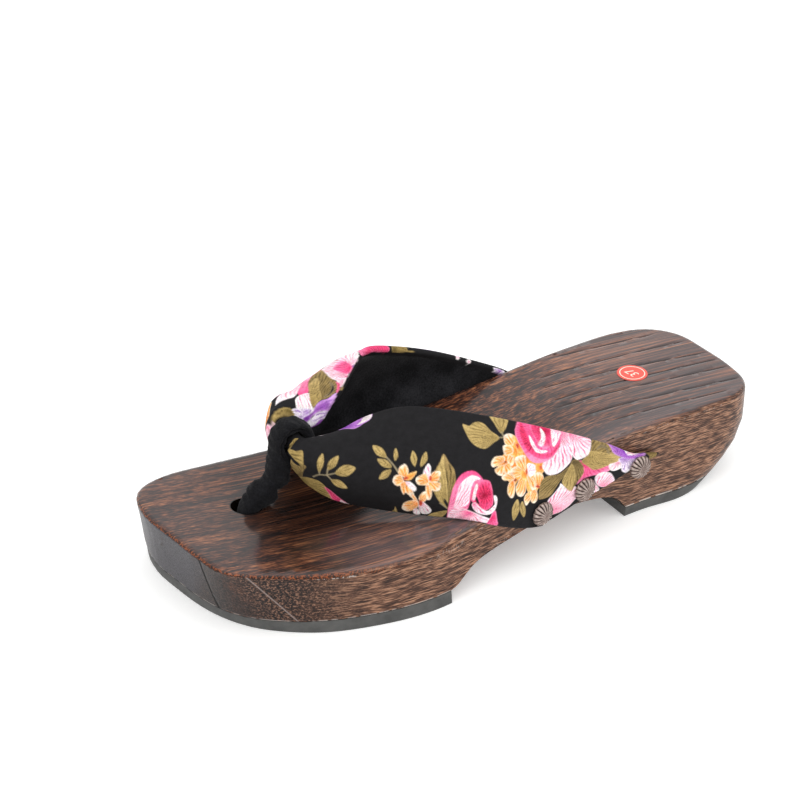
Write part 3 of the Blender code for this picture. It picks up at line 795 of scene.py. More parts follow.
def strapHalf(name, start, stop):
    wanted = np.arange(start, stop, strap["alongStep"])
    lines = resample(strapLines, strapRun, wanted)
    fine = smoothLine(lines.transpose(1, 0, 2), strap["rowSteps"]).transpose(1, 0, 2)
    steps = np.linalg.norm(np.diff(fine, axis=1), axis=2)
    width = np.concatenate([np.zeros((len(fine), 1)), np.cumsum(steps, axis=1)], axis=1)
    # the directions of the band along, upwards and out of it
    centre = eased(lines.mean(axis=1), strap["easings"])
    ahead = eased(np.gradient(centre, axis=0), strap["easings"])
    ahead /= np.linalg.norm(ahead, axis=1, keepdims=True)
    upward = lines[:, 0] - lines[:, -1]
    upward -= (upward * ahead).sum(axis=1, keepdims=True) * ahead
    upward /= np.linalg.norm(upward, axis=1, keepdims=True)
    outward = np.cross(np.gradient(fine, axis=1), np.gradient(fine, axis=0))
    outward /= np.linalg.norm(outward, axis=2, keepdims=True)

    half = strap["wall"] / 2
    plan = sectionPlan()
    sides, amounts, outs = (np.array(column) for column in zip(*plan))
    outer, inner, low = ((sides == side)[:, None] for side in ("outer", "inner", "low"))
    base, away = (np.empty((len(plan), len(wanted), 3)) for _ in range(2))
    across = np.empty((len(plan), len(wanted)))
    for j in range(len(wanted)):
        whole = width[j, -1]
        across[:, j] = np.select(
            [(outer | inner)[:, 0], low[:, 0]],
            [half + amounts * (whole - 2 * half), whole - half + amounts], half - amounts)
        for axis in range(3):
            base[:, j, axis] = np.interp(across[:, j], width[j], fine[j, :, axis])
            away[:, j, axis] = np.interp(across[:, j], width[j], outward[j, :, axis])

    # the relief of the cover, the stuffing that bulges inwards, and the rounded ends
    share = across / width[:, -1][None]
    toCentre = base + away * half - centre[None]
    along = wanted[None] + (toCentre * ahead[None]).sum(axis=2)
    height = (toCentre * upward[None]).sum(axis=2)
    relief = clothRelief(along, share, height, base + away * half)
    relief = relief * softStep(0, 0.06, share * (1 - share) * 4)
    outs = np.repeat(outs[:, None], len(wanted), axis=1)
    outs = np.where(outer, outs + relief, outs)
    filled = 1 - softStep(strap["freeSpan"], strap["freeSpan"] + strap["thinFrom"], np.abs(wanted))
    bow = strap["stuffing"] * filled * np.sin(np.pi * share) ** strap["fullness"]
    outs = np.where(inner, outs - bow, outs)
    toEnd = np.minimum(wanted - start, wanted[-1] - wanted)
    outs *= (1 - strap["endRound"] * (1 - softStep(0, half, toEnd)))[None]
    points = base + away * outs[..., None]
    keepOffWood(points, wanted)

    # mm round the section from the middle of the outer face, over the upper edge and under the lower one
    around = np.linalg.norm(np.diff(points, axis=0, append=points[:1]), axis=2)
    ring = np.cumsum(around, axis=0) - around
    reach = ring[strap["outerFaces"] // 2] - ring
    reach = np.where(reach < -around.sum(axis=0) / 2, reach + around.sum(axis=0), reach)
    piece = startPiece(bpy.ops.mesh.primitive_grid_add, name, x_subdivisions=len(wanted) - 1,
                       y_subdivisions=len(plan), size=0.2)
    setPoints(piece, np.concatenate([points, points[:1]]).reshape(-1, 3) * mm)
    flat = np.stack([np.broadcast_to(wanted, reach.shape), reach, np.zeros_like(reach)], axis=2)
    addAttribute(piece, "clothPlane", "FLOAT_VECTOR", "vector", np.concatenate([flat, flat[:1]]))
    toEdge = np.minimum(across, width[:, -1][None] - across)
    lining = inner & (toEdge > strap["foldedIn"])
    lining = np.concatenate([lining, lining[:1]])
    slots = (lining[:-1, :-1] & lining[1:, :-1]).astype(np.int32)
    piece.data.materials.append(cotton)
    piece.data.materials.append(velvet)
    piece.data.polygons.foreach_set("material_index", slots.ravel())
    closeMesh(piece, 0.002 * mm)
    bpy.ops.object.shade_smooth()
    return piece


# The print, one motif over another. Each is its dye, the root that its veins run from, and its outline, or
# the line of a stem, in mm along the strap from the cord and round it from the middle of the outer face.
lateralMotifs = (
    ("goldLeaf", (7.4, -1.5), (5, 2, 4, 0.5, 4.5, -2, 7.5, -2.5, 7.5, -1.5, 7, 0.5, 6.5, 2.5)),
    ("goldLeaf", (3.6, -3), (3.4, -2.6, 7.9, -1.5, 9.6, -1.7, 11.6, -1, 13.1, -6, 11.7, -7.4, 10.3, -5.3,
        7, -2.3)),
    ("oliveLeaf", (12.9, -12.3), (7.5, -6.5, 9.5, -8, 11.5, -8, 13, -6, 14, -6.5, 13, -10, 12, -15.5,
        9, -13.5, 7, -8.5)),
    ("goldLeaf", (10.9, -15.2), (11, -15, 13.5, -12.5, 16.5, -11.5, 19.5, -11.5, 22.5, -14, 25.5, -20.5,
        23, -19.5, 12.5, -16)),
    ("deepPetal", (20.5, -13.8), (21.5, -13.5, 24, -14.5, 28.5, -19, 31, -22, 28.5, -21, 25.5, -20.5,
        23.5, -16.5)),
    ("whitePetal", (27.6, -19.2), (28, -19, 29, -20, 31, -22, 28, -21)),
    ("stemWhite", (11.3, 8.5), (7, 9, 9, 12, 11, 14, 10, 12.5, 11, 9, 7.5, 10)),
    ("stem", None, (16.9, -10.2, 18.7, -8.2, 20.9, -7.4, 22.7, -6.3, 24.1, -5.5)),
    ("stem", None, (18.8, -7.8, 18.2, -5.6)),
    ("stem", None, (21.2, -7.3, 20.9, -4.4)),
    ("stem", None, (21.2, -7.3, 23.2, -9)),
    ("paleLeaf", (18.5, -7.2), (18.5, -7, 19, -3, 17.5, 0.5, 17, -3)),
    ("paleLeaf", (21, -4.8), (21, -5, 23, -2.5, 22.5, 1, 20.5, -1.5)),
    ("paleLeaf", (23.7, -5.8), (23.6, -5.8, 27.6, -6.2, 29.6, -2.6, 25.6, -2)),
    ("paleLeaf", (22.8, -8.8), (23, -9, 25.5, -11.5, 29, -11.5, 26, -8.5)),
    ("purple", (18.2, 14.8), (15, 16, 21, 18.5, 23.5, 19.5, 27, 20.5, 27.5, 17.5, 25.5, 15.5, 24.5, 14,
        22, 13)),
    ("stemWhite", (25.3, 18.5), (24, 19, 26.5, 20.5, 27.5, 18, 23.5, 15, 24, 17)),
    ("stem", None, (38.6, 2.6, 40.7, 0.9, 42.5, -0.8, 44.2, -2.8)),
    ("paleLeaf", (38.9, 2.4), (38.8, 2.4, 36.4, 5.6, 32.8, 6.4, 35.2, 3.2)),
    ("paleLeaf", (41.3, -0.9), (41.5, -1, 39, 1.5, 36, 1.5, 38.5, -1)),
    ("paleLeaf", (41.7, -1.9), (41.5, -2, 39, -3, 38.5, -6, 41, -5)),
    ("paleLeaf", (42.1, 1.3), (42, 1.5, 42.5, 3.5, 41, 6, 41, 3.5)),
    ("paleLeaf", (49.1, -0.1), (49, 0, 49, 3, 47, 5.5, 47, 2.5)),
    ("paleLeaf", (51.2, 0.1), (51, 0, 52.5, 2.5, 51.5, 5.5, 50.5, 3)),
    ("oliveLeaf", (66.3, -16.9), (57.5, 5, 60, 2, 62.5, -0.5, 64.5, -4.5, 65.5, -7.5, 66, -11.5, 66.5, -15.5,
        66.5, -17, 62.5, -14.5, 59, -10.5, 57, -7.5, 56, -3, 56.5, 0.5, 57, 2.5)),
    ("paleLeaf", (65.6, -15.8), (57.5, 4.5, 59.5, -1, 63, -8.5, 66, -16.5, 62.5, -14, 59, -10, 57, -6,
        56.5, -2, 57, 1.5)),
    ("ink", (65.4, -15.3), (63, -12, 65.5, -14.5, 66, -16.5, 62, -12, 63.5, -13.5)),
    ("stem", None, (62.2, -14.4, 66.4, -17.2)),
    ("paleLeaf", (67.2, -19.2), (60, -23.2, 61.6, -20.6, 67, -18.4, 66.2, -22.8, 62.6, -23.2)),
    ("paleLeaf", (46.6, -23.5), (46, -23.5, 46.5, -21, 46.5, -19, 48, -23.5)),
    ("orangePetal", (46.9, -5.1), (44.5, -3.5, 44, -1, 45.5, 0.5, 47, -1, 47.5, -3, 47, -4.5)),
    ("orangePetal", (47, -5.4), (45.5, -4, 43.5, -4, 43, -6, 44, -7.5, 45.5, -8, 47, -6.5)),
    ("orangePetal", (46.9, -5.1), (46, -6.5, 46.5, -9, 48, -11.5, 48.5, -10.5, 50, -11.5, 51.5, -11,
        50, -8.5, 48, -6)),
    ("whitePetal", (47.2, -6.2), (47.5, -6.5, 49, -6, 51.5, -8, 51.5, -9.5, 50, -9)),
    ("amber", (47.1, -4.6), (46.8, -3.6, 50, -1.8, 49.8, -3.6, 48.8, -5.2, 47.2, -5.4)),
    ("heart", (47.3, -4.7), (48, -4.5, 47, -5.5, 46.5, -5, 47, -4)),
    ("orangePetal", (54.1, -14.4), (51.5, -13, 50, -11.5, 51, -10.5, 54, -14.5, 53, -15)),
    ("orangePetal", (54.4, -14.4), (53.5, -12, 54.5, -9.5, 56, -10, 56.5, -13, 55, -15)),
    ("orangePetal", (54.7, -15.5), (53.5, -14, 51, -14, 49, -16, 49, -19.5, 51, -21, 53, -20, 54.5, -17)),
    ("whitePetal", (54.6, -14.9), (55.2, -14, 60, -18.4, 60, -21.2, 57.2, -21.6, 54.8, -17.8)),
    ("whitePetal", (54.4, -17.5), (53.5, -18.5, 55, -19, 56.5, -22, 55, -23.5, 53.5, -21)),
    ("heart", (54.9, -15), (55.6, -14.8, 55.6, -16.4, 54.8, -16.4, 54, -13.6, 54.8, -13.6)),
    ("whitePetal", (54.9, -4.4), (53.2, -4, 52.4, -1.6, 53.2, 1.2, 54.4, 0, 54.8, -1.8, 55.2, -4.4)),
    ("orangePetal", (55.3, -4.8), (53.5, -2.5, 52, -3, 50.5, -4.5, 51.5, -6.5, 53.5, -7, 55.5, -6)),
    ("orangePetal", (55, -4.8), (55, -3, 56, -1.5, 58, -1.5, 58.5, -4, 58, -5.5, 55.5, -5.5)),
    ("orangePetal", (55, -4.8), (55, -5.5, 57.5, -5.5, 59.5, -6, 60, -8.5, 58, -9, 56, -8)),
    ("orangePetal", (54.8, -5.2), (54.4, -6.4, 56.4, -7.4, 57.8, -10.4, 57.8, -12.8, 56.4, -12.4)),
    ("heart", (55.4, -4.3), (56, -5, 55.2, -5, 54.8, -3.4, 55.6, -3.4)),
    ("pinkPetal", (69.4, -22.8), (69.4, -22.8, 66.6, -16.8, 64.8, -7.8, 66, -2.4, 70.2, -1.2, 75.2, -4.8,
        72.8, -4.8, 72, -6, 72.2, -8.4, 74.8, -15.6, 74.6, -17.2, 71.6, -18, 69.2, -19.6)),
    ("streakedPetal", (69.1, -22.8), (68.2, -14, 67, -7.8, 67.4, -5.2, 68.6, -3.6, 70.4, -2.8, 73.6, -4,
        72, -4.8, 71.6, -6.8, 72.4, -10.4, 73.6, -14.6, 69.4, -16.6)),
    ("streakedPetal", (77.1, -18), (70, -23, 68.5, -18.5, 71.5, -16.5, 75, -17, 83, -19, 87.5, -20,
        89.5, -20.5, 90, -22.5, 85.5, -22.5, 80, -23, 73.5, -22.5)),
    ("deepPetal", (79.9, -11.8), (72, -8, 71.5, -5.5, 73, -4.5, 77, -4.5, 79.5, -7, 81.5, -9.5, 83.5, -12,
        85, -14.5, 84, -16.5, 80.5, -16, 74, -12.5)),
    ("whitePetal", (75.1, -12.4), (74, -11.5, 73, -8, 73, -6, 74, -7, 74.5, -9.5, 75.5, -12, 75, -12.5)),
    ("bud", (78.4, -10.2), (74.5, -7, 75, -5.5, 80, -8, 83, -13.5, 81.5, -14.5, 78.5, -13.5, 75.5, -10.5)),
    ("ink", (76, -12.4), (75.5, -12, 75.5, -11, 78.5, -14, 77, -13.5)),
    ("streakedPetal", (75.1, -13.7), (75.5, -14.5, 76.5, -13.5, 80, -15.5, 84.5, -17, 85.5, -15.5, 86, -13.5,
        88, -16.5, 87, -18.5, 82.5, -18.5, 78.5, -17)),
    ("whitePetal", (84.7, -13.2), (82.5, -10.5, 83, -10, 85, -11.5, 87.5, -15, 88, -16.5, 86, -14)),
    ("pink", (90, -19.9), (90, -23, 89, -19.5, 88, -17.5, 88.5, -16.5, 91, -18.5, 96, -24, 91.5, -23.5)),
    ("paleLeaf", (74.4, 13.1), (61.4, 16.8, 63.6, 16.6, 64.8, 18.2, 66.4, 18.8, 68.4, 18, 70.8, 15.4,
        74.2, 13, 73, 10.6, 70.4, 7.6, 65.4, 10)),
    ("stem", None, (74.1, 13, 75.9, 13.4)),
    ("paleLeaf", (74.5, 15.2), (69.5, 22.5, 75, 22, 74.5, 15, 71, 19.5)),
    ("stem", None, (74.4, 15.6, 75.3, 13.9)),
    ("amber", (82.8, 5.4), (77, 12.5, 79.5, 14, 85.5, 8, 92.5, 5.5, 95, 1, 98, -4, 99, -7.5, 95, -6,
        90, -2.5, 87.5, -2, 87.5, -5, 83.5, -3, 78.5, 0, 77, 4, 78, 7.5)),
    ("amber", (81.2, 9.3), (78.8, 12.2, 80, 13.4, 83.8, 8, 82.4, 6, 79.8, 7.6)),
    ("orangePetal", (80.9, 8.3), (79.5, 6.5, 81, 6.5, 82.5, 4, 82, 2.5, 80, 4)),
    ("orangePetal", (81.2, 9.3), (75.5, 13.5, 76, 15, 77.5, 15.5, 79, 14.5, 79.5, 12, 79, 10.5, 77, 10.5)),
    ("orangePetal", (80.9, 9.2), (76.5, 9.5, 77.5, 10.5, 79.5, 10, 80.5, 8, 79.5, 6.5, 78, 6.5)),
    ("amber", (80.8, 10.9), (78.2, 14.8, 79.6, 14.4, 81.2, 12, 83.4, 9.8, 82.8, 8.4, 81.4, 9)),
    ("heart", (80.8, 10.8), (81.5, 10, 81, 10, 80, 11.5, 81, 12)),
    ("orangePetal", (79.5, 3.2), (79.5, 2, 81, 3.5, 82.5, 2, 83, 0, 81.5, -1)),
    ("orangePetal", (79.5, 4), (75, 2, 75, 4.5, 76.5, 5.5, 78.5, 5.5, 79, 3.5, 76.5, 1)),
    ("orangePetal", (79.2, 4), (77.2, 0.2, 79.6, 2.4, 80.8, -1.6, 78.8, -1.6)),
    ("heartDark", (79.4, 3.8), (80, 4, 80, 3.5, 79.5, 3, 79, 4)),
    ("orangePetal", (86.4, -2.4), (81, -2.5, 81.5, -1, 84, -0.5, 86, -2, 84.5, -3, 82.5, -3.5)),
    ("orangePetal", (88.4, 1.3), (82, 5.5, 84.5, 8, 86, 5.5, 87.5, 2.5, 86.5, 1)),
    ("orangePetal", (88.3, 0.9), (87.5, 0, 88.5, 1, 91.5, -3, 94, -6.5, 94, -8.5, 91.5, -8, 88.5, -5)),
    ("orangePetal", (88.4, 1.3), (83, 0, 83, 2, 84.5, 3, 87.5, 1.5, 87.5, 0, 85.5, -1.5)),
    ("amber", (88.3, 0.9), (86, 2, 87.5, 2, 90, 0.5, 89.5, -1.5, 87.5, -0.5)),
    ("whitePetal", (88.3, 2), (87, 4.5, 87.5, 5.5, 89.5, 5.5, 91, 4, 91.5, 1.5, 90, 0.5)),
    ("orangePetal", (88.4, 1.3), (89.4, 0.2, 91.8, 0.2, 96.4, -2.2, 95.6, -4.6)),
    ("heart", (88.3, 1.9), (89.2, 1, 88.7, 0.8, 87.5, 2.8, 88, 3)),
    ("orangePetal", (86.5, -2.4), (85.5, -6, 85, -3.5, 86.5, -3, 90.5, -8.5, 90.5, -10, 87.5, -8.5)),
    ("heartDark", (86.7, -2.6), (87, -3, 86, -3, 86, -2, 87, -2)),
    ("amber", (91.8, 5.5), (89.5, 6.5, 91.5, 8, 94, 5.5, 93.5, 3, 91, 3.5)),
    ("heart", (92.1, 5.2), (92.8, 4.6, 92.2, 4.4, 91.2, 5.8, 92, 6)),
    ("orangePetal", (96.5, -2.3), (97, -10, 95, -7.5, 95.5, -5.5, 98, -7, 100.5, -12)),
    ("orangePetal", (96.5, -2.3), (96, -5, 97, -4, 100, -6, 103, -9, 103, -10.5, 100, -9.5, 97, -7)),
    ("orangePetal", (96.9, -2.7), (92, 0.5, 92, 3, 94, 3, 96, 1.5, 97.5, -1, 96.5, -2.5, 94.5, -1.5)),
    ("heart", (96.9, -2.5), (98, -3, 96, -3, 96, -2, 97, -2)),
    ("paleLeaf", (101.5, -20.1), (101.6, -20, 99.6, -15, 93.6, -10, 95.6, -14.8)),
    ("paleLeaf", (105.5, -18), (105.5, -18, 102, -14, 96.5, -10.5, 99.5, -14.5)),
    ("streakedPetal", (88.4, 23.2), (90, 23.5, 93, 23.5, 95.5, 20, 100.5, 12.5, 100.5, 6.5, 98.5, 4, 96, 3.5,
        92.5, 5.5, 91.5, 8, 93, 10, 93.5, 14, 93, 17)),
    ("pink", (86.2, 19.7), (78, 22.5, 79, 22, 82.5, 22, 88, 23, 90.5, 23.5, 93, 17, 93, 10, 90, 6.5,
        85.5, 7.5, 79, 15)),
    ("bud", (86.3, 19.2), (79, 22, 83, 15.5, 86, 12, 89, 10.5, 91, 11.5, 92, 13.5, 92.5, 18, 93, 16.5,
        93, 12.5, 92, 9.5, 89.5, 8.5, 86.5, 9, 84, 10.5, 81.5, 13.5, 79.5, 17.5)),
    ("whitePetal", (86.9, 12.7), (83, 16.5, 86.5, 12.5, 88.5, 12, 90.5, 12.5, 89.5, 11, 87.5, 10.5, 85.5, 12,
        84, 14)),
    ("deepPetal", (86.4, 20.3), (81.7, 22.5, 83.7, 22.6, 88, 22.5, 89.9, 16.9, 90.2, 14.3, 89.1, 12.8,
        86.7, 13.9, 82.8, 18.8)),
    ("whitePetal", (86.5, 12.1), (85, 21, 87, 19, 88, 16, 88, 13.5, 86.5, 14, 86.5, 17)),
    ("whitePetal", (89.8, 23.3), (88, 22.5, 90.5, 23.5, 91.5, 19.5, 91.5, 15, 90, 17)),
    ("streakedPetal", (92.9, 23.7), (93, 23.5, 95, 24, 100, 24.5, 101.5, 23, 103.5, 19.5, 104.5, 17,
        103.5, 14.5, 102, 13.5, 99.5, 14.5, 97.5, 17, 95, 19.5)),
    ("pink", (105.5, 13.6), (103.5, 12.5, 105.5, 14, 110.5, 13.5, 114.5, 17, 118.5, 15, 118, 12, 114, 7.5,
        113.5, 5, 113.5, 2.5, 111, 6)),
    ("oliveLeaf", (104.8, 13.8), (101.5, 23.5, 103.5, 25, 108, 26, 110.5, 24, 114, 23, 116, 21, 116.5, 18.5,
        115, 16.5, 114, 14, 112, 12, 108, 12.5, 104.5, 13.5, 104.5, 17, 103.5, 20)),
    ("paleLeaf", (104.8, 13.8), (104, 19, 106.5, 20, 109.5, 21, 111.5, 22, 114.5, 22.5, 116, 21, 116.5, 18.5,
        115, 16.5, 114, 14, 112, 12, 108, 12.5, 104.5, 13.5, 104.5, 17)),
    ("curl", (107.3, 21.5), (105.4, 20.4, 104.8, 22, 105.4, 23.6, 107.2, 23.6, 110.6, 21.4, 109.4, 21.2,
        108, 22.4, 106.4, 22.2)),
    ("streakedPetal", (125.5, 1.9), (117, 9, 116.5, 12, 120, 13, 124, 11, 128, 7.5, 128, 4.5, 126.5, 3,
        122.5, 4.5)),
    ("whitePetal", (123.4, 2.3), (120.5, 5, 127, 1, 129, -4.5, 122.5, 1)),
    ("streakedPetal", (118.1, -18), (105.6, 1.2, 111.4, -0.6, 114.8, 1.2, 122.4, -5.2, 125, -11.6,
        125.6, -16.4, 123.6, -18, 121.2, -20.2, 113.2, -10.8, 109, -8.8, 106.4, -0.6)),
    ("oliveLeaf", (101.9, 9.3), (96.8, -1.2, 96.2, 1.6, 97.8, 3.6, 100.8, 5, 102, 9.6, 103.4, 6.6, 104, 2.4,
        105.4, -1.8, 106.8, -6, 104.6, -8, 101.8, -7.2)),
    ("oliveLeaf", (101.7, 13), (102, 9.5, 101, 12.5, 103, 13.5, 106.5, 12, 109.5, 9.5, 111.5, 6.5, 113, 2.5,
        115, -1.5, 110.5, -0.5, 105, 2.5)),
    ("paleLeaf", (101.3, 12.3), (102.5, 9, 102, 11, 104.5, 9.5, 109, 5.5, 114.5, -1, 110.5, -0.5, 105, 2.5)),
    ("whitePetal", (117.1, 19.5), (115, 17, 116, 19.5, 116.5, 22, 121.5, 18, 121.5, 15, 119, 14.5)),
    ("purplePetal", (116.5, 24.7), (115, 21.5, 117, 24, 120.5, 25, 125.5, 18.5, 128.5, 14, 124.5, 15,
        119, 19.5)),
    ("purple", (114.6, 26.3), (107, 26, 109.5, 26, 118.5, 28, 125.5, 31, 124, 29.5, 121.5, 26, 120, 24,
        113, 22.5, 110, 23)),
    ("whitePetal", (118, 28), (114.5, 27, 117.5, 28, 122, 30, 120.5, 28.5, 117, 25.5, 115, 25.5)),
    ("goldLeaf", (128.9, 15), (129, 7, 129, 14, 129, 16, 129, 10)),
    ("oliveLeaf", (127.2, 31.8), (125.5, 31, 127.5, 31.5, 128, 30, 127.5, 27, 127, 25.5, 124, 29.5)),
)
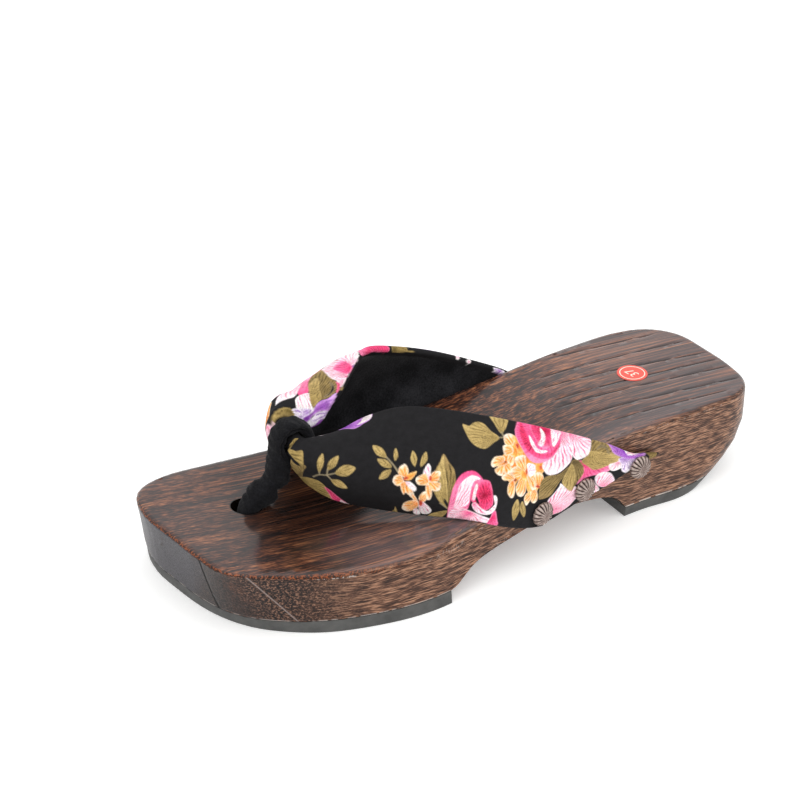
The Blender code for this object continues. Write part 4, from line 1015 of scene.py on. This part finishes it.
medialMotifs = (
    ("oliveLeaf", (-21.4, 4.9), (-14, -3.5, -14.5, -1, -18, 3, -21.5, 6, -21.5, 3, -21, -2.5, -20.5, -5.5,
        -20.5, -8.5, -18.5, -12.5, -16.5, -13, -16, -10, -14.5, -8)),
    ("orangePetal", (-14, -4.9), (-10, -6.2, -10.6, -3.6, -12.2, 0, -13.6, 1.2, -14.6, 0, -14, -5.2,
        -15.6, -11.2, -14.6, -13.6, -12.6, -12.4, -7.6, -10.2, -8.2, -7.6)),
    ("streakedPetal", (-20.7, 11.8), (-14.5, 3.5, -16, 5.5, -17.5, 12.5, -21, 12, -21.5, 7, -21, 5.5,
        -16, 0.5, -14.5, -1.5)),
    ("pink", (-31.2, 5.2), (-27, 10.6, -30.8, 9.2, -34.8, 9.6, -37.8, 12.2, -39.6, 13.2, -41.2, 9.4,
        -37.8, 7.8, -32.8, 4.8, -32.4, 2.4, -32.2, -2.8, -30.4, -4.2, -27.8, -3.6, -23.4, -0.6, -21.6, -0.4,
        -22.4, 4.4, -25.6, 6.4)),
    ("streakedPetal", (-34.8, -22.9), (-20.6, -6, -21.2, -2.4, -21.6, 0.4, -25.2, -1.4, -29.4, -3.2,
        -30.4, -3.8, -31.2, -8.6, -31.8, -13.4, -36.2, -19.8, -38.4, -22, -32.4, -23.4, -28.6, -23.2,
        -24.8, -16, -22.8, -14.2)),
    ("streakedPetal", (-31.6, 1.8), (-32, 3, -34.5, 6.5, -37, 8, -40, 9, -44, 8.5, -47.5, 5, -47.5, 2.5,
        -47, 1, -44, 0.5, -43, -2.5, -39, -3.5, -32, -4, -31.5, -3)),
    ("streakedPetal", (-35.6, -5.3), (-33, -4.5, -36, -2, -40.5, 0, -44.5, 0, -48, -1.5, -50.5, -4, -50, -7,
        -48.5, -9, -46, -7, -43, -6.5, -39.5, -7.5, -38, -12, -35, -12, -32.5, -7.5)),
    ("deepPetal", (-37.6, -22.3), (-30, -8, -30.5, -4.5, -33, -4.5, -34.5, -7.5, -36, -12.5, -38, -18,
        -38, -22.5, -34.5, -22.5, -32, -15)),
    ("wine", (-39.1, -8.2), (-35.2, -11.2, -37.2, -11, -38.8, -7.2, -45.2, -6.8, -47.2, -8.2, -46.8, -11.4,
        -45.6, -14.4, -46.4, -19.4, -45.6, -21.8, -42, -22.8, -38, -22.2, -36.8, -16)),
    ("oliveLeaf", (-23.4, 9.5), (-22.5, 1, -21.5, 7, -21.5, 10, -23.5, 10.5, -25, 11, -28, 9, -30, 5.5,
        -31, 2, -30.5, -3.5, -26, -2, -23.5, -1)),
    ("oliveLeaf", (-26.3, 10.4), (-26, 10.5, -26.5, 13.5, -25, 18, -22.5, 24.5, -26.5, 24.5, -30.5, 23,
        -34, 20, -40.5, 17, -38, 12, -35, 9.5, -31, 9, -27.5, 10)),
    ("goldLeaf", (-26.3, 10.4), (-26.6, 14.4, -29.4, 16.8, -33.6, 17.8, -38.8, 17.2, -40.4, 16.8, -38, 12,
        -34.8, 9.6, -30.8, 9, -27.2, 10)),
    ("curl", (-29.1, 21.1), (-27, 20, -25.5, 24, -29, 23.5, -32.5, 20, -31, 20.5, -28.5, 21.5)),
    ("goldLeaf", (-25.6, -16.9), (-19.5, -23.5, -21, -20, -23.5, -17.5, -26, -18, -28.5, -22.5, -24, -24.5)),
    ("whitePetal", (-42.2, 17.2), (-39.5, 13, -40, 15.5, -42, 17.5, -44.5, 14, -45, 10.5, -41, 9.5)),
    ("purplePetal", (-42.9, 17.9), (-39.5, 16.5, -41.5, 18.5, -46.5, 17.5, -49.5, 16, -50, 12, -49, 9,
        -46.5, 9.5, -41, 13)),
    ("purple", (-35.8, 22.3), (-28.5, 24.5, -32, 25, -35, 25.5, -45.5, 25, -52, 23, -51.5, 18.5, -47, 17,
        -42, 17.5, -37, 19.5)),
    ("whitePetal", (-42.4, 21.2), (-37, 23, -41.5, 23.5, -47, 22, -50, 20.5, -45.5, 19, -41, 19.5)),
    ("oliveLeaf", (-56.2, 20.9), (-48, 17, -50.5, 20, -55, 22.5, -59.5, 24.5, -62, 22.5, -61, 17.5,
        -59.5, 13.5, -60.5, 8.5, -60, 2.5, -56, 0, -52.5, 2.5, -50.5, 8, -50.5, 12.5)),
    ("paleLeaf", (-56.2, 20.9), (-52.5, 16.5, -54.5, 19, -56.5, 20.5, -59, 18, -59, 13, -59.5, 8, -59, 3.5,
        -56.5, 2.5, -53.5, 7.5, -53, 12.5)),
    ("oliveLeaf", (-62.3, 11.7), (-63, 11.5, -63, 15, -64.5, 18, -67.5, 19.5, -71, 17, -70, 13.5,
        -67.5, 11.5)),
    ("purplePetal", (-69.9, 25.9), (-67, 25, -70, 26.5, -76, 27, -81, 27.5, -81.5, 24, -81.5, 20, -80, 18,
        -75, 19, -70, 21.5)),
    ("purple", (-72.1, 25.3), (-67, 25, -70, 26.5, -76, 27, -77.5, 27, -74.5, 23.5, -71, 23.5)),
    ("goldLeaf", (-108, 30.4), (-106, 30, -112, 30.5, -118, 30, -119, 29, -117.5, 27, -114, 26.5, -109, 28)),
    ("ink", (-12.8, 12.1), (-10.6, -19.6, -12.8, -13, -12, -7.2, -10.6, -2.2, -11.2, 0.8, -13.6, 4.4,
        -20.2, 6.4, -29.8, 5.4, -31.8, 6.8, -34.4, 8, -39.6, 8.6, -43.4, 11.8, -44.8, 15.4, -47.2, 20.8,
        -46.8, 24.4, -52, 24.4, -63.8, 24.4, -68.8, 25.2, -77.6, 26, -88.2, 27.6, -99, 29.6, -101.6, 30.6,
        -100.4, 33.6, -92.4, 32.8, -83, 29.6, -74, 28, -67, 28.4, -59.2, 28.4, -51, 28.4, -42.4, 26,
        -38.4, 25.8, -34.2, 25.2, -26, 24.6, -20.6, 24, -17.6, 24.8, -11.4, 23.2, -8.4, 19.6, -6.8, 13.6,
        -38.8, -34.4, -6.2, 10.2, -1.6, 1.2, -6.4, -8, -11.6, -21.6)),
    ("pinkPetal", (-34.2, 8), (-22.5, 7.5, -30, 5.5, -34, 8, -40, 9, -38.5, 11.5, -31.5, 12.5, -29, 11,
        -24, 11.5, -16.5, 15, -15, 12.5, -15.5, 11.5)),
    ("streakedPetal", (-33.5, 7.1), (-11, 2, -15, 5, -18, 6, -27.5, 4.5, -32, 6, -31.5, 6.5, -22.5, 9,
        -16.5, 11, -14, 10.5, -12.5, 8, -11, 3)),
    ("whitePetal", (-18.5, 12.5), (-15.5, 13, -17, 15.5, -13.5, 17.5, -12.5, 18, -11, 14.5, -9.5, 10,
        -12, 10)),
    ("whitePetal", (-26.2, 25.6), (-35, 13.5, -36.5, 14, -33, 17.5, -29.5, 21.5, -30, 24.5, -29.5, 25,
        -25.5, 24.5, -24, 24, -27, 21.5, -28, 19, -31, 16.5)),
    ("streakedPetal", (-33.7, 26), (-37, 12, -41.8, 12.4, -43.6, 16, -45.6, 17.4, -46.8, 20.8, -47.4, 22.4,
        -42.2, 25, -38.6, 26, -34.6, 25.2, -29.2, 25.2, -28, 23.6, -28.4, 20.8, -30, 17.6)),
    ("pink", (-33.6, 25.5), (-39.5, 18.5, -39, 20.5, -35, 25, -32.5, 25.5, -30.5, 24.5, -32.5, 20,
        -35, 17.5)),
    ("whitePetal", (-35.9, 24.7), (-43.5, 19.5, -47.5, 19, -46, 22, -42.5, 25, -38.5, 26, -35.5, 25,
        -37, 24)),
    ("oliveLeaf", (-12.8, 17.6), (-12.5, 17.5, -17.5, 15, -23, 12, -29, 10.5, -36.5, 10, -37, 12, -31.5, 16,
        -29, 18, -25, 23, -20.5, 23, -17.5, 21.5, -16, 20)),
    ("paleLeaf", (-12.8, 17.6), (-13, 17.5, -17.5, 15, -22, 12.5, -26.5, 12.5, -28.5, 13, -26.5, 15, -21, 17,
        -18, 19.5, -16, 20)),
    ("curl", (-22.7, 20.8), (-26, 19, -25.5, 20.5, -23.5, 22, -21, 22.5, -19, 22, -17.5, 21, -18.5, 20.5,
        -20.5, 21.5, -22.5, 21)),
    ("ink", (-21.7, 21.2), (-24, 21, -22.5, 22, -20.5, 22, -18, 21, -20.5, 21.5)),
    ("deepPetal", (-26.4, 22.6), (-26.4, 21.4, -25.6, 23.2, -23.2, 23.8, -21, 23.6, -24.8, 22.4)),
    ("purple", (-8.3, 14.6), (-11.6, 17.2, -16.2, 20.6, -17.8, 22.2, -20.6, 23.2, -20.6, 24, -16, 25.2,
        -14.2, 24.4, -13.4, 21.6, -10, 16.8, -8.6, 16.8, -8.2, 13.2)),
    ("plum", (-8.3, 14.6), (-8.5, 14, -14, 20.5, -16.5, 23, -16, 24, -15, 23, -11.5, 18, -9.5, 16,
        -8.5, 16.5)),
    ("purplePetal", (-9.2, 15.3), (-8.6, 8.4, -10.4, 12.4, -12, 16.8, -12, 17.8, -8.2, 13.6, -8, 15,
        -7.6, 13.4, -7.6, 9)),
    ("purplePetal", (-14.5, 25.2), (-11.9, 19.2, -14.3, 24.3, -12.3, 23.5, -9.8, 20, -8.3, 18.7,
        -8.1, 15.9)),
    ("plum", (-7, 15), (-6.7, 13.5, -7.9, 18.3, -10.4, 20.2, -11.5, 22.1, -9.7, 21.1, -7.9, 18.4)),
    ("goldLeaf", (-6.8, 6.5), (-7.2, -3.2, -7.4, -0.6, -8.6, 7.2, -7.2, 9.2, -7, 6.8, -6.8, -0.2,
        -6.8, -2.6)),
    ("streakedPetal", (-6.9, -1.7), (-7, -2, -6.5, -2, -7, -6, -7.5, -11, -9.5, -17.5, -10.5, -19.5,
        -9.5, -16.5, -12.5, -13, -12, -10.5, -7.5, -4.5)),
    ("deepPetal", (-54.9, 32.2), (-47.5, 22, -48, 24.5, -55.5, 24, -57.5, 24.5, -58, 28, -54.5, 28,
        -50, 27.5, -47.5, 28, -42.5, 26)),
    ("goldLeaf", (-59.2, 27), (-60, 24.5, -64, 24.5, -65.5, 25, -65.5, 27, -68.5, 27.5, -60, 28)),
    ("whitePetal", (-83.2, 28.1), (-83, 26.5, -84, 27, -84, 29, -83, 29)),
    ("whitePetal", (-87.5, 29.9), (-86.5, 29.5, -87.5, 28, -88, 29.5, -88, 31)),
    ("purplePetal", (-99, 32), (-96, 31, -101, 31.5, -100.5, 34, -99, 34)),
)

# colour at the root, in the middle and at the rim, colour of the veins, mm between them, how strong
dyes = {
    "goldLeaf": ("6A5A2E", "A08850", "B89E62", "463A20", 1.1, 0.9),
    "paleLeaf": ("947E4A", "B49A60", "C2A86E", "645430", 1.1, 0.85),
    "oliveLeaf": ("5E4E30", "8E7848", "A48A5A", "382E1C", 1.2, 1.0),
    "curl": ("6F6252", "7C6C50", "8F7E5A", "4A4038", 1.0, 0.5),
    "stem": ("A09274", "A09274", "A09274", "A09274", 1.0, 0.0),
    "stemWhite": ("DCCFD0", "E6DADB", "E6DADB", "C8B4BC", 1.0, 0.3),
    "whitePetal": ("F0A0BA", "FDF2F3", "FFFAF7", "E070A0", 1.3, 0.9),
    "streakedPetal": ("EE5A90", "FCD8E6", "FFF6F8", "E23A78", 1.2, 1.0),
    "pinkPetal": ("FBC8DC", "F88CB4", "F4568E", "DC2E70", 1.3, 0.8),
    "pink": ("DC2E68", "F45C92", "FC9CC2", "C01E58", 1.2, 0.6),
    "deepPetal": ("C0184A", "EC4478", "FA86AE", "A81644", 1.2, 0.6),
    "bud": ("A00C36", "E0325F", "F2568A", "70082A", 1.0, 0.8),
    "wine": ("4E0E1C", "9C1E36", "DC4C74", "1B1B1D", 1.3, 0.9),
    "orangePetal": ("EC7A18", "F7B868", "FFF0DC", "EC7810", 1.05, 1.0),
    "amber": ("E87A2C", "F2AC50", "FAD092", "D8602A", 1.2, 0.5),
    "heart": ("AE2A24", "C83E34", "DE7A50", "8C1C1C", 1.0, 0.3),
    "heartDark": ("5C2A20", "8C3A28", "C07040", "401810", 1.0, 0.3),
    "purplePetal": ("9A5CBC", "F2E2F5", "FDF8FC", "8440AE", 1.3, 1.0),
    "purple": ("8540AE", "B46CC8", "DCB0E6", "6A2C96", 1.3, 0.8),
    "plum": ("6E2C92", "8A44A8", "A866C0", "5A2080", 1.2, 0.5),
    "ink": ("19181A", "19181A", "19181A", "19181A", 1.0, 0.0),
}


def dyeShape(colours, places, kind, root, outline):
    # lays one motif on the points that it covers, with soft edges
    outline = np.array(outline, float).reshape(-1, 2)
    stem = kind == "stem"
    line = smoothLine(outline, 4 if len(outline) > 8 else 6, closed=not stem)
    # a little round about it is enough, and the rest of the cloth is left out
    low, high = line.min(axis=0) - strap["margin"], line.max(axis=0) + strap["margin"]
    near = np.nonzero(((places > low) & (places < high)).all(axis=1))[0]
    if not len(near):
        return
    # how far each point is from the line
    spot = places[near][:, None]
    start = line[None, :-1] if stem else line[None]
    run = (line[1:] - line[:-1])[None] if stem else (np.roll(line, -1, axis=0) - line)[None]
    share = ((spot - start) * run).sum(axis=2) / np.maximum((run ** 2).sum(axis=2), 1e-9)
    reach = np.linalg.norm(spot - start - np.clip(share, 0, 1)[..., None] * run, axis=2).min(axis=1)
    *tones, spacing, strength = dyes[kind]
    inner, middle, rim, vein = (np.array(fromHex(code)) for code in tones)
    if stem:
        cover = (1 - softStep(*strap["stemWidth"], reach)) * strap["stemShare"]
        colours[near] += (inner - colours[near]) * cover[:, None]
        return

    # a point is inside where a ray from it crosses the outline an odd number of times
    x, y = spot[..., 0], spot[..., 1]
    crosses = (start[..., 1] > y) != (start[..., 1] + run[..., 1] > y)
    rise = np.where(np.abs(run[..., 1]) < 1e-9, 1e-9, run[..., 1])
    before = x < start[..., 0] + (y - start[..., 1]) * run[..., 0] / rise
    depth = np.where((crosses & before).sum(axis=1) % 2 == 1, reach, -reach)
    cover = softStep(-strap["bleed"], strap["bleed"], depth)

    # the colour goes from the root to the rim, and veins fan out from the root
    toRoot = places[near] - np.array(root)
    far = np.linalg.norm(toRoot, axis=1)
    longest = np.linalg.norm(line - np.array(root), axis=1).max()
    out = far / longest
    atRim = np.maximum(softStep(0.6, 1.0, out), 0.7 * (1 - softStep(0.0, 0.6, depth)))
    turn = np.arctan2(toRoot[:, 1], toRoot[:, 0])
    count = max(3, round(2 * math.pi * 0.6 * longest / spacing))
    wander = 0.5 * np.sin(far * 0.5 + turn * 4) + 0.3 * np.sin(far * 1.3 - turn * 7)
    swing = np.cos(turn * count + 2 * wander)
    uneven = 0.7 + 0.3 * np.sin(turn * count * 0.37 + far * 0.4)
    fade = strength * uneven * softStep(0.05, 0.45, depth) * softStep(0.08, 0.3, out)
    pale = 0.5 * fade * softStep(0.2, 0.9, -swing)
    dark = fade * softStep(0.25, 0.85, swing) * (1 - 0.75 * softStep(0.65, 1.0, out))
    colour = inner + (middle - inner) * softStep(0.0, 0.5, out)[:, None]
    for tone, amount in ((rim, atRim), (rim, pale), (vein, dark)):
        colour += (tone - colour) * amount[:, None]
    colours[near] += (colour - colours[near]) * cover[:, None]


def dyeCloth(piece, motifs):
    # one colour for each point of the cover
    places = np.empty(len(piece.data.vertices) * 3, np.float32)
    piece.data.attributes["clothPlane"].data.foreach_get("vector", places)
    places = places.reshape(-1, 3)[:, :2].astype(float)
    colours = np.empty((len(places), 4))
    colours[:] = fromHex(strap["ground"])
    for kind, root, outline in motifs:
        dyeShape(colours, places, kind, root, outline)
    addAttribute(piece, "dye", "FLOAT_COLOR", "color", colours)


strapLines, strapRun = strapLayer()
lateralHalf = strapHalf("strapOuterHalf", strap["gap"], strapRun[-1])
medialHalf = strapHalf("strapInnerHalf", strapRun[0], 0.0)
dyeCloth(lateralHalf, lateralMotifs)
dyeCloth(medialHalf, medialMotifs)
print("strap shaped", len(lateralHalf.data.polygons), len(medialHalf.data.polygons))


# The toe cord: a strip of velveteen folded twice round the point of the V and let into the block.
toeCord = {
    "bandCentre": (-9.8, -66.9, 49.5),  # mm, as everything here
    "band": (6.3, 7.1, 4.4, 2.0),  # half axes along y and z, half width, half thickness
    "bandSteps": 64,
    # where the second turn of the strip lies beside the first: share of the band's size, depth, width,
    # from and to in degrees
    "turnCrease": (0.74, 1.1, 0.07, 40.0, 215.0),
    # the middle line x y z, then half width and half thickness
    "stem": (
        (-9.8, -71.4, 47.5, 4.3, 3.9), (-9.8, -72.4, 44.0, 4.4, 4.1), (-9.9, -72.9, 40.0, 4.5, 4.2),
        (-10.1, -73.4, 36.2, 4.6, 4.3), (-10.6, -75.7, 32.8, 4.7, 4.5), (-11.3, -79.0, 29.7, 4.8, 4.5),
        (-11.9, -82.0, 27.1, 4.6, 4.2), (-12.3, -83.9, 23.5, 4.5, 4.1), (-12.4, -84.5, 18.0, 4.5, 4.1),
        (-12.4, -84.5, 11.5, 4.5, 4.1),
    ),
    # bulges: centre and radii
    "bulges": (
        (-11.4, -80.2, 31.2, 5.0, 4.3, 4.2),
        (-9.8, -73.0, 38.8, 4.6, 4.6, 5.2),
    ),
    "holeRoom": 5.7,  # the radius that the cord has inside the hole
    "holeTop": (25.9, 28.5),  # heights between which it swells again
    "swelling": 6.0,
    "holeReach": 34.0,  # height above which the hole is no matter
    "square": 0.75,  # below 1 the strip's section is fuller than an ellipse
    "around": 28,  # faces round it
    "voxel": 0.42,
    "smoothings": 7,
    "folds": 0.3,  # slight creases across the strip
    "nap": 0.1,
    "foldsFrom": (24, 29),  # heights between which folds and nap set in
}


def blackPlush():
    # Cotton velveteen: short black nap that swallows light and shows a dusty rim where it turns away.
    material, add, fillShader = newMaterial("cottonVelveteen")
    place = add("TexCoord").outputs["Object"]
    nap = add("TexNoise", (place, 1600.0, 3.0, 0.7))
    brushed = add("TexNoise", (place, 240.0, 3.0, 0.6))
    both = add("Mix", (0.45, nap, brushed))
    fillShader({"Base Color": add("ValToRGB", (both,), stops=((0.34, "08080A"), (0.68, "202023"))),
                "Normal": add("Bump", {"Height": both, "Strength": 0.8, "Distance": 0.0006}),
                "Roughness": 0.95, "Specular IOR Level": 0.1, "Sheen Weight": 0.06, "Sheen Roughness": 0.5})
    return material


def sweptTube(name, middles, widths, thicks, closed):
    # a flattened tube in a plane of constant x: width lies along x, thickness across the path
    middles = np.asarray(middles, float)
    if closed:
        ahead = np.roll(middles, -1, axis=0) - np.roll(middles, 1, axis=0)
    else:
        ahead = np.gradient(middles, axis=0)
    ahead /= np.linalg.norm(ahead, axis=1, keepdims=True)
    sideways = np.cross(ahead, (1.0, 0.0, 0.0))
    sideways /= np.linalg.norm(sideways, axis=1, keepdims=True)
    turn = np.linspace(0, 2 * np.pi, toeCord["around"] + 1)
    flat, tall = (np.sign(wave) * np.abs(wave) ** toeCord["square"] for wave in (np.cos(turn), np.sin(turn)))
    points = (middles[None] + flat[:, None, None] * np.array((1.0, 0, 0)) * np.asarray(widths)[None, :, None]
              + tall[:, None, None] * sideways[None] * np.asarray(thicks)[None, :, None])
    if closed:
        points = np.concatenate([points, points[:, :1]], axis=1)
    piece = startPiece(bpy.ops.mesh.primitive_grid_add, name, x_subdivisions=points.shape[1] - 1,
                       y_subdivisions=toeCord["around"], size=0.1)
    setPoints(piece, points.reshape(-1, 3) * mm)
    closeMesh(piece, 0.01 * mm)
    return piece


def foldCord(material):
    # band, stem and bulges become one skin
    centre = np.array(toeCord["bandCentre"])
    deep, tall, wide, thick = toeCord["band"]
    steps = toeCord["bandSteps"]
    turn = np.linspace(0, 2 * np.pi, steps, endpoint=False)
    middle = centre + np.stack([0 * turn, deep * np.cos(turn), tall * np.sin(turn)], axis=1)
    stem = smoothLine(toeCord["stem"], 8)
    parts = [sweptTube("toeCord", middle, np.full(steps, wide), np.full(steps, thick), True),
             sweptTube("stem", stem[:, :3], stem[:, 3], stem[:, 4], False)]
    for bulge in toeCord["bulges"]:
        ball = startPiece(bpy.ops.mesh.primitive_uv_sphere_add, "bulge", segments=32, ring_count=20,
                          radius=mm)
        setPoints(ball, meshPoints(ball) * np.array(bulge[3:]) + np.array(bulge[:3]) * mm)
        parts.append(ball)
    piece = parts[0]
    focus(piece)
    for part in parts:
        part.select_set(True)
    bpy.ops.object.join()
    applyModifier(piece, "REMESH", mode="VOXEL", voxel_size=toeCord["voxel"] * mm)
    applyModifier(piece, "SMOOTH", factor=0.5, iterations=toeCord["smoothings"])

    # slight folds and nap, and the crease between the two turns
    points, normals = meshPoints(piece), meshNormals(piece)
    x, y, z = (points / mm).T
    creases = np.sin(y * 1.1 + z * 0.7 + 1.3 * np.sin(x * 0.5)) * np.sin(z * 0.9 - y * 0.35 + x * 0.3)
    nap = np.sin(x * 5.1 + z * 2.3) * np.sin(y * 4.7 - z * 3.1) * np.sin(z * 5.9 + x * 1.7)
    share, depth, wideness, start, end = toeCord["turnCrease"]
    across, up = (centre[1] - y) / (deep + thick), (z - centre[2]) / (tall + thick)
    heading = np.degrees(np.arctan2(up, -across)) % 360
    inCrease = np.exp(-((np.hypot(across, up) - share) / wideness) ** 2) * softStep(0.2, 0.7, normals[:, 0])
    inCrease *= softStep(start - 20, start + 10, heading) * (1 - softStep(end - 10, end + 20, heading))
    points[:, 0] -= inCrease * depth * mm
    relief = toeCord["folds"] * creases + toeCord["nap"] * nap
    points += normals * (relief * softStep(*toeCord["foldsFrom"], z) * mm)[:, None]
    # inside the hole the cord is squeezed by the wood, and it swells again just above it
    away = points[:, :2] / mm - block["hole"]
    far = np.hypot(away[:, 0], away[:, 1])
    room = toeCord["holeRoom"] + toeCord["swelling"] * softStep(*toeCord["holeTop"], z)
    room = np.where(z < toeCord["holeReach"], room, np.inf)
    points[:, :2] -= away * (np.maximum(1 - room / np.maximum(far, 0.1), 0) * mm)[:, None]
    setPoints(piece, points)
    bpy.ops.object.shade_smooth()
    finishPiece(piece, material, "black_plush", "toe_cord")
    return piece


cordPiece = foldCord(blackPlush())
print("toe cord folded", len(cordPiece.data.polygons))


# The upholstery tacks, one head modelled once and set on each packed tack.
tack = {
    "radius": 4.75,  # mm
    "height": 2.5,
    "flutes": 16,
    "around": 96,
    "hard": 50,  # degrees, edges above this stay sharp
    "ribRound": 0.8,  # below 1 the ribs are broader than the flutes
    "narrowing": 0.5,  # how much a flute goes sideways, as a share of its depth
    "wear": 0.6,  # of the smooth parts
    # radius and height as shares, depth of the flutes in mm
    "profile": (
        (1.0, 0.0, 0.0), (1.0, 0.14, 0.30), (0.965, 0.32, 0.42), (0.88, 0.55, 0.46), (0.74, 0.76, 0.44),
        (0.58, 0.89, 0.36), (0.42, 0.96, 0.22), (0.32, 0.975, 0.06), (0.28, 0.93, 0.0), (0.15, 0.95, 0.0),
    ),
    "tones": ((0.05, "352B28"), (0.28, "7E6E68"), (0.6, "BCACA4")),
}


def antiqueBronze():
    # Bronze-plated steel, darkened in the flutes and rubbed bright on the ribs.
    material, add, fillShader = newMaterial("antiqueBronze")
    place = add("TexCoord").outputs["Object"]
    worn = add("Attribute", attribute_name="rubbed").outputs["Fac"]
    spots = add("TexNoise", (place, 900.0, 3.0, 0.6))
    both = add("Math", (worn, spots), operation="MULTIPLY")
    fillShader({"Base Color": add("ValToRGB", (both,), stops=tack["tones"]), "Metallic": 1.0,
                "Roughness": 0.38})
    return material


def modelTackHead():
    # a disc, pulled up ring by ring, then fluted
    head = startPiece(bpy.ops.mesh.primitive_circle_add, "tackHead", vertices=tack["around"],
                      radius=tack["radius"] * mm, fill_type="NGON")
    profile = tack["profile"]
    with editing(head):
        for (share, up, _), (nextShare, nextUp, _) in zip(profile, profile[1:]):
            lift = (0, 0, (nextUp - up) * tack["height"] * mm)
            bpy.ops.mesh.extrude_region_move(TRANSFORM_OT_translate={"value": lift})
            ratio = nextShare / share
            bpy.ops.transform.resize(value=(ratio, ratio, 1))
        turnOutwards()
    points = meshPoints(head) / mm
    radius = np.hypot(points[:, 0], points[:, 1])
    shares, _, depths = np.array(profile)[::-1].T
    depth = np.interp(radius / tack["radius"], shares, depths) * (points[:, 2] > 0.05)
    rib = np.abs(np.sin(np.arctan2(points[:, 1], points[:, 0]) * tack["flutes"] / 2))
    rib = rib ** tack["ribRound"]
    points[:, :2] *= (1 - depth * tack["narrowing"] * (1 - rib) / np.maximum(radius, 0.1))[:, None]
    points[:, 2] = np.maximum(points[:, 2] - depth * (1 - rib), 0)
    setPoints(head, points * mm)
    addAttribute(head, "rubbed", "FLOAT", "value", np.where(depth > 0, rib, tack["wear"]))
    return head


def setTacks():
    head = modelTackHead()
    material = antiqueBronze()
    for nodeName, node in list(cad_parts.items()):
        if not nodeName.startswith("tack_"):
            continue
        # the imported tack's flattest direction is its axis, and it looks away from the shoe's middle
        points = meshPoints(node)
        centre = (points.min(axis=0) + points.max(axis=0)) / 2
        _, vectors = np.linalg.eigh(np.cov((points - points.mean(axis=0)).T))
        axis = Vector(vectors[:, 0])
        if axis.x * centre[0] < 0:
            axis = -axis
        heights = (points - centre) @ np.array(axis)
        base = Vector(centre) + axis * float(heights.min())
        turn = axis.to_track_quat("Z", "Y").to_matrix().to_4x4()
        piece = head.copy()
        piece.data = head.data.copy()
        first, *others = nodeName.split("_")
        piece.name = first + "".join(word.capitalize() for word in others)
        bpy.context.scene.collection.objects.link(piece)
        piece.data.transform(Matrix.Translation(base) @ turn)
        focus(piece)
        bpy.ops.object.shade_smooth_by_angle(angle=math.radians(tack["hard"]))
        finishPiece(piece, material, "antique_bronze", nodeName)
    bpy.data.objects.remove(head)


setTacks()
print("tacks set")


# The round size label on the heel, with a plain number.
label = {
    "centre": (1.0, 81.2),  # mm
    "radius": 6.1,
    "around": 96,  # faces round it
    "rings": 7,  # it bends between them
    "thick": 0.16,
    "offWood": 0.01,
    "print": 0.02,  # the ink is this thick, and lies this far above the paper
    "ring": (4.75, 5.15),  # inner and outer radius of the printed ring, mm
    "number": "37",
    "numberSize": 5.4,
    "turn": 188.0,  # degrees, read by the wearer
    "aside": 1.1,  # mm round each point in which the highest wood counts
    "paper": "E8574A",
    "ink": "F6E9D8",
}


def paperLabel(name, code):
    # Gloss-laminated paper: flat printed colour, a soft shine.
    material, add, fillShader = newMaterial(name)
    fibre = add("TexNoise", (add("TexCoord").outputs["Object"], 900.0, 2.0))
    fillShader({"Base Color": fromHex(code), "Roughness": 0.35,
                "Normal": add("Bump", {"Height": fibre, "Strength": 0.1, "Distance": 0.0001})})
    return material


def punchDisc(name, radius, inset, times, hollow, thick):
    # insets give a disc rings to bend at, and a hollow one loses what lies inside them
    piece = startPiece(bpy.ops.mesh.primitive_circle_add, name, vertices=label["around"], radius=radius * mm,
                       fill_type="NGON")
    with editing(piece):
        for _ in range(times):
            bpy.ops.mesh.inset(thickness=inset * mm)
        if hollow:
            bpy.ops.mesh.delete(type="FACE")
        bpy.ops.mesh.select_all(action="SELECT")
        bpy.ops.mesh.extrude_region_move(TRANSFORM_OT_translate={"value": (0, 0, thick * mm)})
        turnOutwards()
    return piece


def layOnBlock(piece, above, material):
    # every point keeps its own height above the wood, and the paper bridges the grooves
    x, y = label["centre"]
    piece.data.transform(Matrix.Translation((0, 0, above * mm)))
    piece.data.transform(Matrix.Translation((x * mm, y * mm, label["offWood"] * mm)))
    surface = BVHTree.FromObject(woodenBlock, bpy.context.evaluated_depsgraph_get())
    points = meshPoints(piece)
    aside = label["aside"] * mm
    turns = np.arange(8) * math.pi / 4
    around = [(0, 0)] + [(aside * math.cos(turn), aside * math.sin(turn)) for turn in turns]
    for point in points:
        hits = [surface.ray_cast(Vector((point[0] + right, point[1] + back, 0.1)), Vector((0, 0, -1)))[0].z
                for right, back in around]
        point[2] += max(hits)
    setPoints(piece, points)
    finishPiece(piece, material, "printed_cotton")


def makeLabel():
    inner, outer = label["ring"]
    ink = label["print"]
    step = label["radius"] / label["rings"]
    disc = punchDisc("sizeLabel", label["radius"], step, label["rings"] - 1, False, label["thick"])
    layOnBlock(disc, 0, paperLabel("coralPaper", label["paper"]))
    paint = paperLabel("whitePrint", label["ink"])
    ring = punchDisc("labelRing", outer, outer - inner, 1, True, ink)
    layOnBlock(ring, label["thick"] + ink, paint)
    number = startPiece(bpy.ops.object.text_add, "labelNumber")
    for name, value in (("body", label["number"]), ("size", label["numberSize"] * mm), ("align_x", "CENTER"),
                        ("align_y", "CENTER"), ("extrude", ink / 2 * mm)):
        setattr(number.data, name, value)
    bpy.ops.object.convert(target="MESH")
    number = bpy.context.object
    number.data.transform(Matrix.Rotation(math.radians(label["turn"]), 4, "Z"))
    number.data.transform(Matrix.Translation((0, 0, ink / 2 * mm)))
    layOnBlock(number, label["thick"] + ink, paint)


makeLabel()
print("label laid")

for half in (lateralHalf, medialHalf):
    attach(half, "root")
    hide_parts("v_strap")
